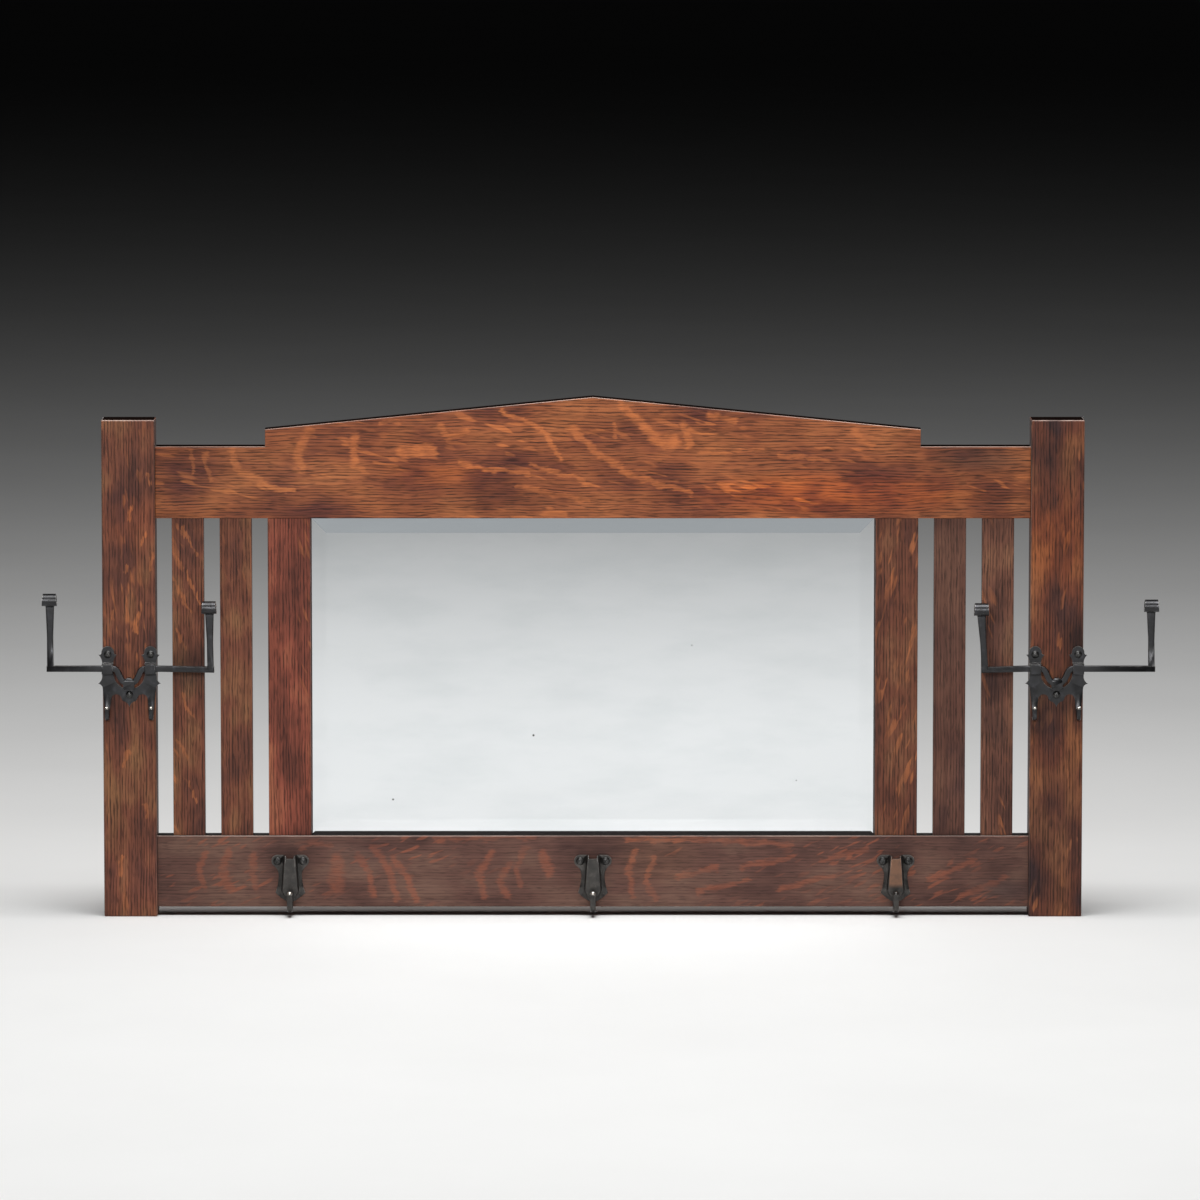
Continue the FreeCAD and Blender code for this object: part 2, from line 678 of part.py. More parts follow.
def mirror_wedges():
    """Glue blocks in the rebate, in rows along the rails and the stiles."""
    blocks = []
    for direction, edge in ((1, SIGHT_TOP), (-1, SIGHT_BOTTOM)):
        section = wedge_section(edge + direction * REBATE_WIDTH, direction)
        pitch = SIGHT_WIDTH / WEDGES_ALONG_RAIL
        for number in range(WEDGES_ALONG_RAIL):
            start = -STILE_INNER + (number + 0.5) * pitch - WEDGE_LENGTH / 2
            blocks.append(outline(section, in_side_plane(start)).extrude(ACROSS * WEDGE_LENGTH))
    for direction in (-1, 1):
        section = wedge_section(direction * (STILE_INNER + REBATE_WIDTH), direction)
        corners = [(across, depth) for depth, across in section]
        pitch = SIGHT_HEIGHT / WEDGES_ALONG_STILE
        for number in range(WEDGES_ALONG_STILE):
            start = SIGHT_BOTTOM + (number + 0.5) * pitch - WEDGE_LENGTH / 2
            blocks.append(outline(corners, in_level_plane(start)).extrude(UP * WEDGE_LENGTH))
    return Part.makeCompound(blocks)


def backboard(number):
    """One board of the back: its top laps in front of the board above."""
    limits = backboard_limits()
    low, high = limits[number], limits[number + 1]
    across = grown((-STILE_INNER, STILE_INNER), BACKBOARD_OVERLAP)
    middle = (RAIL_BACK + BACKBOARD_BACK) / 2
    half_seam = BACKBOARD_SEAM / 2
    has_upper = number < len(BACKBOARD_NAMES) - 1
    has_lower = number > 0
    back_rise = (low + half_seam * has_lower, high - half_seam * has_upper)
    front_rise = (low + (BACKBOARD_LAP + half_seam) * has_lower,
                  high + (BACKBOARD_LAP - half_seam) * has_upper)
    back = block(across, (middle, BACKBOARD_BACK), back_rise)
    front = block(across, (RAIL_BACK, middle), front_rise)
    return less(fused([back, front]), screw_holes(BACKBOARD_SCREW, backboard_screw_places(), False))


def keyhole_hanger(side):
    """Steel plate with a keyhole that hooks over a screw in the wall."""
    rise = around(HANGER_MIDDLE, HANGER_LENGTH)
    plate = block(around(0, HANGER_WIDTH), (-HANGER_THICKNESS, 0), rise)
    plate = eased(plate, HANGER_CORNER, INTO_WALL)
    entry = Part.makeCylinder(KEYHOLE_RADIUS, HANGER_THICKNESS, ORIGIN, INTO_WALL * -1)
    slot = keyhole_path(KEYHOLE_SLOT_WIDTH / 2).extrude(INTO_WALL * -HANGER_THICKNESS)
    plate = less(plate, [entry, slot])
    plate.translate(ACROSS * (side * POST_CENTRE))
    return less(plate, screw_holes(HANGER_SCREW, hanger_screw_places(side), False))


# Hat fittings, drawn about the bar's axis on the face of the post, with the room towards -Y

def place_hat_fitting(shape, side):
    """Move a hat fitting from its own axis to its post."""
    moved = shape.copy()
    moved.translate(Vector(side * POST_CENTRE, POST_FRONT, FOOT + HAT_BAR_HEIGHT))
    return moved


def plate_of(face):
    """Plate of the hat fitting's iron from a face on the post."""
    return face.extrude(INTO_WALL * -PLATE_THICKNESS)


def lobe():
    """Onion-shaped lobe with two spurs, over the right strap."""
    points = [(STRAP_INNER, STRAP_HALF),
              (STRAP_OUTER, STRAP_HALF),
              (STRAP_OFFSET + LOBE_SPUR_REACH, LOBE_SPUR_HEIGHT, SPUR_BOW),
              (STRAP_OFFSET + LOBE_DOME_HALF, LOBE_DOME_BASE, SPUR_BOW),
              (STRAP_OFFSET - LOBE_DOME_HALF, LOBE_DOME_BASE, -LOBE_DOME_RISE),
              (STRAP_OFFSET - LOBE_SPUR_REACH, LOBE_SPUR_HEIGHT, SPUR_BOW),
              (STRAP_INNER, STRAP_HALF, SPUR_BOW)]
    return plate_of(Part.Face(open_path(points, in_front_plane(0))))


def strap():
    """Square bridge over the bar on the right of the plate."""
    across = (STRAP_INNER, STRAP_OUTER)
    bridge = block(across, (-STRAP_OUTSIDE, 0), (-STRAP_HALF, STRAP_HALF))
    front = [edge for edge in bridge.Edges if abs(edge.CenterOfMass.y + STRAP_OUTSIDE) < TOLERANCE]
    bridge = bridge.makeFillet(STRAP_EDGE_ROUND, front)
    return less(bridge, [block(grown(across, STRAP_WIDTH), (-STRAP_INSIDE, 0), (-WINDOW_HALF, WINDOW_HALF))])


def plate_body():
    """Right half of the plate under the straps, with its spur, leg, arch and leaf."""
    leg_outer = LEG_HOOK_OFFSET + LEG_HOOK_WIDTH / 2
    leg_inner = LEG_HOOK_OFFSET - LEG_HOOK_WIDTH / 2
    points = [(0, -STRAP_HALF - STRAP_INNER),
              (STRAP_INNER, -STRAP_HALF, -quarter_bow(STRAP_INNER)),
              (STRAP_OUTER, -STRAP_HALF),
              (STRAP_OUTER, -BODY_NECK_DROP),
              (BODY_SPUR_REACH, -BODY_SPUR_DROP, -SPUR_BOW),
              (BODY_WAIST_HALF, -BODY_WAIST_DROP, -SPUR_BOW),
              (leg_outer, -BODY_LEG_DROP),
              (leg_inner, -BODY_LEG_DROP),
              (LEG_TOP_INNER, -ARCH_FOOT_DROP),
              (ARCH_INNER, -ARCH_FOOT_DROP, -ARCH_RISE),
              (LEAF_SHOULDER_HALF, -LEAF_SHOULDER_DROP),
              (0, -LEAF_TIP_DROP, -LEAF_BOW)]
    return plate_of(outline(points, in_front_plane(0)))


def tongue():
    """Tongue that rises behind the bar's sag, rolls over it and hangs down in front as a flap."""
    sag_centre = SAG_BOTTOM_RADIUS - SAG_DEPTH
    sag_inside = SAG_BOTTOM_RADIUS - BAR_SIZE / 2
    neck_half = TONGUE_NECK_WIDTH / 2
    neck_under = sag_centre - math.sqrt(sag_inside ** 2 - neck_half ** 2) + BAR_CLEARANCE
    neck_top = neck_under + PLATE_THICKNESS
    foot = -SAG_DEPTH - BAR_SIZE / 2 - FLAP_OVERHANG
    shoulder = neck_top - FLAP_SHOULDER_DROP
    half = FLAP_WIDTH / 2
    foot_half = FLAP_FOOT_WIDTH / 2
    root = -STRAP_HALF - STRAP_INNER - PLATE_THICKNESS
    behind = plate_of(outline([(-TONGUE_ROOT_WIDTH / 2, root), (TONGUE_ROOT_WIDTH / 2, root),
                               (neck_half, neck_top), (-neck_half, neck_top)], in_front_plane(0)))
    over = block((-neck_half, neck_half), (-STRAP_OUTSIDE, 0), (neck_under, neck_top))
    flap = open_path([(-neck_half, neck_top), (neck_half, neck_top), (half, shoulder, FLAP_SHOULDER_BOW),
                      (half, foot + FLAP_FOOT_RISE), (foot_half, foot, FLAP_FOOT_BOW), (-foot_half, foot),
                      (-half, foot + FLAP_FOOT_RISE, FLAP_FOOT_BOW), (-half, shoulder),
                      (-neck_half, neck_top, FLAP_SHOULDER_BOW)], in_front_plane(-STRAP_INSIDE))
    return [behind, over, plate_of(Part.Face(flap))]


def leg_hook():
    """Small J hook on the end of the right leg."""
    depth = -LEG_HOOK_THICKNESS / 2
    tip_depth = depth - 2 * LEG_HOOK_RADIUS
    top = -LEG_HOOK_DROP + LEG_HOOK_ROOT
    tip = -LEG_HOOK_DROP + LEG_HOOK_RISE
    path = open_path([(depth, top), (depth, -LEG_HOOK_DROP), (tip_depth, -LEG_HOOK_DROP, LEG_HOOK_RADIUS),
                      (tip_depth, tip)], in_side_plane(LEG_HOOK_OFFSET))
    start = Vector(LEG_HOOK_OFFSET, depth, top)
    section = rounded_section(start, ACROSS, INTO_WALL, LEG_HOOK_WIDTH, LEG_HOOK_THICKNESS, BAR_EDGE_ROUND)
    ball = Part.makeSphere(LEG_HOOK_TIP_RADIUS, Vector(LEG_HOOK_OFFSET, tip_depth, tip))
    return [swept(path, section), ball]


def hat_plate(side):
    """Whole hat plate, with its screw holes."""
    right_half = [lobe(), strap(), plate_body()] + leg_hook()
    left_half = [mirrored(shape) for shape in right_half]
    plate = place_hat_fitting(fused(right_half + left_half + tongue()), side)
    return less(plate, screw_holes(HAT_SCREW, hat_screw_places(side), True))


def sag_points():
    """Half of the sag's centreline, from the level run down to its lowest point."""
    slope = math.radians(SAG_SLOPE)
    drop = 1 - math.cos(slope)
    top_run = SAG_TOP_RADIUS * math.sin(slope)
    low_run = SAG_BOTTOM_RADIUS * math.sin(slope)
    low_start = -SAG_DEPTH + SAG_BOTTOM_RADIUS * drop
    straight_run = (-SAG_TOP_RADIUS * drop - low_start) / math.tan(slope)
    begin = -(low_run + straight_run + top_run)
    bow = 1 - math.cos(slope / 2)
    return [(begin, 0),
            (begin + top_run, -SAG_TOP_RADIUS * drop, SAG_TOP_RADIUS * bow),
            (-low_run, low_start),
            (0, -SAG_DEPTH, -SAG_BOTTOM_RADIUS * bow)]


def reversed_half(points):
    """Other half of a symmetric path, from the middle outward."""
    flipped = []
    for here, ahead in zip(reversed(points[:-1]), reversed(points[1:])):
        flipped.append((-here[0], here[1]) + ahead[2:])
    return flipped


def crossbar():
    """Middle of a hat bar: its sag and the straight runs through both straps."""
    run_end = STRAP_OUTER + BAR_STRAIGHT
    sag = sag_points()
    points = [(-run_end, 0)] + sag + reversed_half(sag) + [(run_end, 0)]
    path = open_path(points, in_front_plane(-BAR_AXIS_OUT))
    start = Vector(-run_end, -BAR_AXIS_OUT, 0)
    return swept(path, rounded_section(start, INTO_WALL, UP, BAR_SIZE, BAR_SIZE, BAR_EDGE_ROUND))


def side_run(arm):
    """Run of the bar from its strap to just past its upright, bent forward."""
    outward = math.copysign(1, arm.reach)
    near = Vector(outward * (STRAP_OUTER + BAR_STRAIGHT), -BAR_AXIS_OUT, 0)
    run_end = arm.reach + outward * (UPRIGHT_FOOT_WIDTH / 2 + RUN_END_PAST)
    far = Vector(run_end, -BAR_AXIS_OUT - arm.forward, 0)
    sections = [rounded_section(end, INTO_WALL, UP, BAR_SIZE, BAR_SIZE, BAR_EDGE_ROUND)
                for end in (near, far)]
    return Part.makeLoft(sections, True, True)


def scroll_start(arm):
    """Place where an upright turns into its scroll."""
    height = arm.height - SCROLL_RADIUS - SCROLL_THICKNESS / 2
    return Vector(arm.reach + arm.side_lean, -BAR_AXIS_OUT - arm.forward - arm.forward_lean, height)


def upright(arm):
    """Upright that leans, draws in, flattens towards its neck and flares into the scroll."""
    low = Vector(arm.reach, -BAR_AXIS_OUT - arm.forward, 0)
    top = scroll_start(arm)
    neck = top + (low - top) * (SCROLL_FLARE / (top.z - low.z))
    scroll_width = (SCROLL_TOP_WIDTH + SCROLL_LIP_WIDTH) / 2
    stations = [(low, UPRIGHT_FOOT_WIDTH, UPRIGHT_FOOT_THICKNESS),
                ((low + neck) / 2, UPRIGHT_WAIST_WIDTH, UPRIGHT_WAIST_THICKNESS),
                (neck, UPRIGHT_NECK_WIDTH, UPRIGHT_NECK_THICKNESS),
                (top, scroll_width, SCROLL_THICKNESS)]
    sections = [rounded_section(centre, ACROSS, INTO_WALL, width, depth, BAR_EDGE_ROUND)
                for centre, width, depth in stations]
    return Part.makeLoft(sections, True, True)


def scroll(arm):
    """End of the bar, rolled forward in half turns that tighten by a step, and wider at its lip."""
    start = scroll_start(arm)
    points = [(start.y, start.z)]
    depth = start.y
    for turn, direction in enumerate((-1, 1, -1)):
        radius = SCROLL_RADIUS - turn * SCROLL_STEP
        depth += direction * 2 * radius
        points.append((depth, start.z, -radius))
    path = open_path(points, in_side_plane(start.x))
    blank_width = SCROLL_LIP_WIDTH + 2 * SCROLL_THICKNESS
    section = rounded_section(start, ACROSS, INTO_WALL, blank_width, SCROLL_THICKNESS, BAR_EDGE_ROUND)
    reach = SCROLL_RADIUS + SCROLL_THICKNESS
    top_half = SCROLL_TOP_WIDTH / 2
    lip_half = SCROLL_LIP_WIDTH / 2
    corners = [(start.x - lip_half, start.z - reach), (start.x + lip_half, start.z - reach),
               (start.x + top_half, start.z + reach), (start.x - top_half, start.z + reach)]
    taper = outline(corners, in_front_plane(start.y + SCROLL_THICKNESS)).extrude(INTO_WALL * -(2 * reach))
    return swept(path, section).common(taper)


def hat_bar(side, arms):
    """Whole hat bar: crossbar, side runs, uprights and their scrolls."""
    pieces = [crossbar()]
    for arm in arms:
        pieces += [side_run(arm), upright(arm), scroll(arm)]
    return place_hat_fitting(fused(pieces), side)


# Coat hooks, drawn about the middle of the plate's top edge on the face of the rail

def coat_plate():
    """Plate with two ears, a waist and a flare that closes to the prong's root."""
    ear_low = EAR_RADIUS * math.sqrt(0.5)
    half = [(0, 0),
            (EAR_OFFSET, 0),
            (EAR_OFFSET + EAR_RADIUS, -EAR_RADIUS, quarter_bow(EAR_RADIUS)),
            (EAR_OFFSET + ear_low, -EAR_RADIUS - ear_low, EAR_RADIUS * (1 - math.cos(math.pi / 8))),
            (WAIST_HALF, -WAIST_DROP, -WAIST_BOW),
            (FLARE_HALF, -FLARE_DROP, -FLARE_BOW),
            (COAT_FOOT_HALF, -COAT_FOOT_DROP, COAT_FOOT_BOW),
            (0, -COAT_FOOT_DROP)]
    plate = outline(half, in_front_plane(0)).extrude(INTO_WALL * -COAT_PLATE_THICKNESS)
    return [plate, mirrored(plate)]


def rib_section(base_half, face_half, depth, height, radius):
    """Level outline of the rib at one height, with a rounded face."""
    base_left, face_left = (-base_half, 0), (-face_half, -depth)
    base_right, face_right = (base_half, 0), (face_half, -depth)
    points = [base_left]
    points += rounded_corner(base_left, face_left, face_right, radius)
    points += rounded_corner(face_left, face_right, base_right, radius)
    return open_path(points + [base_right, base_left], in_level_plane(height))


def rib():
    """Tapered rib that runs from the top of the plate down into the prong's root."""
    top = rib_section(RIB_TOP_BASE_HALF, RIB_TOP_FACE_HALF, RIB_TOP_DEPTH, 0, RIB_EDGE_ROUND)
    low = rib_section(RIB_LOW_BASE_HALF, RIB_LOW_FACE_HALF, RIB_LOW_DEPTH, -RIB_LOW_DROP, RIB_EDGE_ROUND)
    foot = rib_section(PRONG_WIDTH / 2, RIB_FOOT_FACE_HALF, PRONG_THICKNESS, -PRONG_TURN_DROP,
                       PRONG_EDGE_ROUND)
    return [Part.makeLoft([top, low, foot], True, True)]


def hollow_section(base_half, face_half, depth, height):
    """Level outline of the space inside the rib at one height."""
    base, face, front = base_half - RIB_WALL, face_half - RIB_WALL, -depth + RIB_WALL
    corners = [(-base, COAT_PLATE_THICKNESS), (-face, front), (face, front), (base, COAT_PLATE_THICKNESS)]
    return open_path(corners + corners[:1], in_level_plane(height))


def rib_hollow():
    """Space inside the rib, open at the top and at the back."""
    top = hollow_section(RIB_TOP_BASE_HALF, RIB_TOP_FACE_HALF, RIB_TOP_DEPTH, 0)
    low = hollow_section(RIB_LOW_BASE_HALF, RIB_LOW_FACE_HALF, RIB_LOW_DEPTH, -RIB_LOW_DROP)
    return Part.makeLoft([top, low], True, True)


def rib_notch():
    """Notch in the top of the rib's face, which opens the space inside to the front."""
    return block((-RIB_NOTCH_HALF, RIB_NOTCH_HALF), (-2 * RIB_TOP_DEPTH, -RIB_TOP_DEPTH / 2),
                 (-RIB_NOTCH_DROP, RIB_NOTCH_DROP))


def prong():
    """J prong that leaves the foot of the plate, turns up in front and ends in a ball."""
    depth = -PRONG_THICKNESS / 2
    front = depth - 2 * PRONG_TURN_RADIUS
    tip = (front - PRONG_TIP_LEAN, -PRONG_TIP_DROP)
    path = open_path([(depth, -PRONG_ROOT_DROP), (depth, -PRONG_TURN_DROP),
                      (front, -PRONG_TURN_DROP, PRONG_TURN_RADIUS), tip], in_side_plane(0))
    start = Vector(0, depth, -PRONG_ROOT_DROP)
    section = rounded_section(start, ACROSS, INTO_WALL, PRONG_WIDTH, PRONG_THICKNESS, PRONG_EDGE_ROUND)
    ball = Part.makeSphere(PRONG_BALL_RADIUS, Vector(0, *tip))
    return [swept(path, section), ball]


def coat_hook(centre):
    """Whole coat hook, with its screw holes."""
    hook = less(fused(coat_plate() + rib() + prong()), [rib_hollow(), rib_notch()])
    hook.translate(Vector(centre, RAIL_FRONT, FOOT + COAT_HOOK_TOP))
    return less(hook, screw_holes(COAT_SCREW, coat_screw_places(), True))


def nodes():
    """Every piece of the mirror by name."""
    pieces = {"top_rail": top_rail(), "bottom_rail": bottom_rail()}
    for name, side, arms in (("left", -1, LEFT_BAR_ARMS), ("right", 1, RIGHT_BAR_ARMS)):
        pieces[name + "_post"] = post(side)
        pieces[name + "_outer_slat"] = slat(side * OUTER_SLAT_CENTRE)
        pieces[name + "_inner_slat"] = slat(side * INNER_SLAT_CENTRE)
        pieces[name + "_stile"] = stile(side)
        pieces[name + "_hat_plate"] = hat_plate(side)
        pieces[name + "_hat_bar"] = hat_bar(side, arms)
        pieces[name + "_hat_plate_screws"] = screws(HAT_SCREW, hat_screw_places(side), HAT_SCREW_TURNS, True)
        pieces[name + "_keyhole_hanger"] = keyhole_hanger(side)
        pieces[name + "_hanger_screws"] = screws(HANGER_SCREW, hanger_screw_places(side),
                                                 BACK_SCREW_TURNS, False)
    for name, centre in zip(("left", "middle", "right"), coat_hook_centres()):
        pieces[name + "_coat_hook"] = coat_hook(centre)
    pieces["coat_hook_screws"] = screws(COAT_SCREW, coat_screw_places(), COAT_SCREW_TURNS, True)
    pieces["mirror_plate"] = mirror_plate()
    pieces["mirror_wedges"] = mirror_wedges()
    for number, name in enumerate(BACKBOARD_NAMES):
        pieces[name + "_backboard"] = backboard(number)
    pieces["backboard_screws"] = screws(BACKBOARD_SCREW, backboard_screw_places(), BACK_SCREW_TURNS, False)
    return pieces


def main():
    """Write one STEP file for each piece."""
    os.makedirs("parts", exist_ok=True)
    for name, shape in nodes().items():
        shape.exportStep("parts/" + name + ".step")
        state = "valid" if shape.isValid() else "NOT VALID"
        print(name, len(shape.Solids), "solids", state, round(shape.Volume))


if __name__ == "__main__":
    main()
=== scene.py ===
"""Looks of the oak hall mirror: its finishes, its smooth forged iron, the studio and the camera."""
import json
import logging
import math
from dataclasses import dataclass, field, replace
from enum import Enum

import bpy
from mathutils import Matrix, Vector

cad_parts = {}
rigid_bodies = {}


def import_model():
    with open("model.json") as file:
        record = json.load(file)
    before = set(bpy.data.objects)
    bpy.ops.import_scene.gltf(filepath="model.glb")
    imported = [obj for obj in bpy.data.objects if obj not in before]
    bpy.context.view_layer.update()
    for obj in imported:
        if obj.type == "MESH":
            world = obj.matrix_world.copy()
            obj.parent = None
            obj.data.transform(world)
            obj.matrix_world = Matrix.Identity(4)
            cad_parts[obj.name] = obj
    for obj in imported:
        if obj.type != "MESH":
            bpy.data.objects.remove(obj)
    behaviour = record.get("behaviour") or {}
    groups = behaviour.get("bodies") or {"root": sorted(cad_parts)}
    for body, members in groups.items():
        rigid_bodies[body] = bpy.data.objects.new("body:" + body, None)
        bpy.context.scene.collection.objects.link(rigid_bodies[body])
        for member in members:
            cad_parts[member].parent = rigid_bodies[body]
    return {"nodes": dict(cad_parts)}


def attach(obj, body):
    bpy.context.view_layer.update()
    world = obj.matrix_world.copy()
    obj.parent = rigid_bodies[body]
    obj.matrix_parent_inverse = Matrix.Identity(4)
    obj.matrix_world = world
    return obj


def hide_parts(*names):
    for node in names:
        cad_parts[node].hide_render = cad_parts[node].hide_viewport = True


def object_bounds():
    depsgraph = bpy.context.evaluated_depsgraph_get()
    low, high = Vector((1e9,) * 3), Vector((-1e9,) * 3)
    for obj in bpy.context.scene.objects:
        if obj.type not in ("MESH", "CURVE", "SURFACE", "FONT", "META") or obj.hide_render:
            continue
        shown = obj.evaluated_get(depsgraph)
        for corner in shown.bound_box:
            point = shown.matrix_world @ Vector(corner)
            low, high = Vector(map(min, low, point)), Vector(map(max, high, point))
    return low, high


Tree = bpy.types.NodeTree
Socket = bpy.types.NodeSocket
Value = Socket | float | tuple[float, ...]

LOG = logging.getLogger("hall_mirror")
MM = 0.001
BODY = "root"
# Vertices closer than this are welded, and edges sharper than this stay crisp
WELD = 0.002 * MM
CREASE = math.radians(32)
# A Mix node's inputs and outputs by number, because those for numbers, vectors and colours share names
NUMBER_A, NUMBER_B, NUMBER_OUT = 2, 3, 0
VECTOR_A, VECTOR_B, VECTOR_OUT = 4, 5, 1
COLOUR_A, COLOUR_B, COLOUR_OUT = 6, 7, 2

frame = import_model()
CAD_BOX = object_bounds()


class Grain(Enum):
    """Direction of a board's grain, as the axes of its length and its width."""

    LEVEL = ("X", "Z")
    UPRIGHT = ("Z", "X")


class Figure(Enum):
    """Pattern in the oak: size along and across the grain in millimetres, octaves and shift of the seed."""

    STREAK = (110.0, 6.0, 3.0, 0.0)
    TONE = (170.0, 36.0, 3.0, 7.0)
    WAVE = (160.0, 60.0, 2.0, 11.0)
    BLOTCH = (60.0, 45.0, 2.0, 13.0)
    CLUSTER = (130.0, 38.0, 1.0, 23.0)
    NICK = (13.0, 2.0, 2.0, 29.0)
    SILK = (16.0, 7.0, 3.0, 31.0)
    DRIFT = (90.0, 15.0, 2.0, 37.0)


class Iron(Enum):
    """How an iron piece has worn."""

    BLACK = "blackened"
    HANDLED = "handled"


def linear(code: str) -> tuple[float, float, float, float]:
    """Linear colour of an sRGB hex code.

    Args:
        code: Colour as "#rrggbb".

    Returns:
        Red, green, blue and a full alpha.
    """
    parts = [int(code[place:place + 2], 16) / 255 for place in (1, 3, 5)]
    red, green, blue = (p / 12.92 if p <= 0.04045 else ((p + 0.055) / 1.055) ** 2.4 for p in parts)
    return red, green, blue, 1.0


def add_node(tree: Tree, kind: str, *inputs: Value, named: dict[str | int, Value] | None = None,
             stops: tuple[tuple[float, str], ...] = (), **settings: object) -> bpy.types.NodeOutputs:
    """Add a node with its settings, its values and its links.

    Args:
        tree: Node tree that gets the node.
        kind: Blender's name for the kind of node, without ShaderNode in front.
        inputs: Values or sockets to link, in the order of the node's inputs. A Map Range node takes
            its value, the two ends of its range and the results there.
        named: Further values or sockets, by the name or number of the input.
        stops: Places and hex codes of a colour ramp.
        settings: Properties of the node.

    Returns:
        The new node's outputs.
    """
    node = tree.nodes.new("ShaderNode" + kind)
    for name, value in settings.items():
        setattr(node, name, value)
    for key, value in (dict(enumerate(inputs)) | (named or {})).items():
        if isinstance(value, Socket):
            tree.links.new(value, node.inputs[key])
        else:
            node.inputs[key].default_value = value
    if stops:
        elements = node.color_ramp.elements
        while len(elements) < len(stops):
            elements.new(1.0)
        for element, (place, code) in zip(elements, stops):
            element.position = place
            element.color = linear(code)
    return node.outputs


def new_material(name: str) -> tuple[bpy.types.Material, Tree, Socket]:
    """Empty node material.

    Args:
        name: Name of the real material.

    Returns:
        The material, its node tree and its Object coordinates.
    """
    material = bpy.data.materials.new(name)
    material.use_nodes = True
    tree = material.node_tree
    tree.nodes.clear()
    return material, tree, add_node(tree, "TexCoord")["Object"]


@dataclass(frozen=True)
class Flake:
    """Large ray flake drawn as a ribbon through points along and across the board, in millimetres."""

    path: tuple[tuple[float, float], ...]
    width: float
    strength: float


@dataclass(frozen=True)
class TonePatch:
    """Soft patch that darkens or lightens the board's colour; those beside the hat fittings are partly
    iron stain and partly painted shadow of the fittings.

    Its middle and half sizes along and across the board are in millimetres. Its gain is what it does
    to red, green and blue: under one darkens, over one lightens.
    """

    along: float
    across: float
    half_length: float
    half_width: float
    gain: tuple[float, float, float]


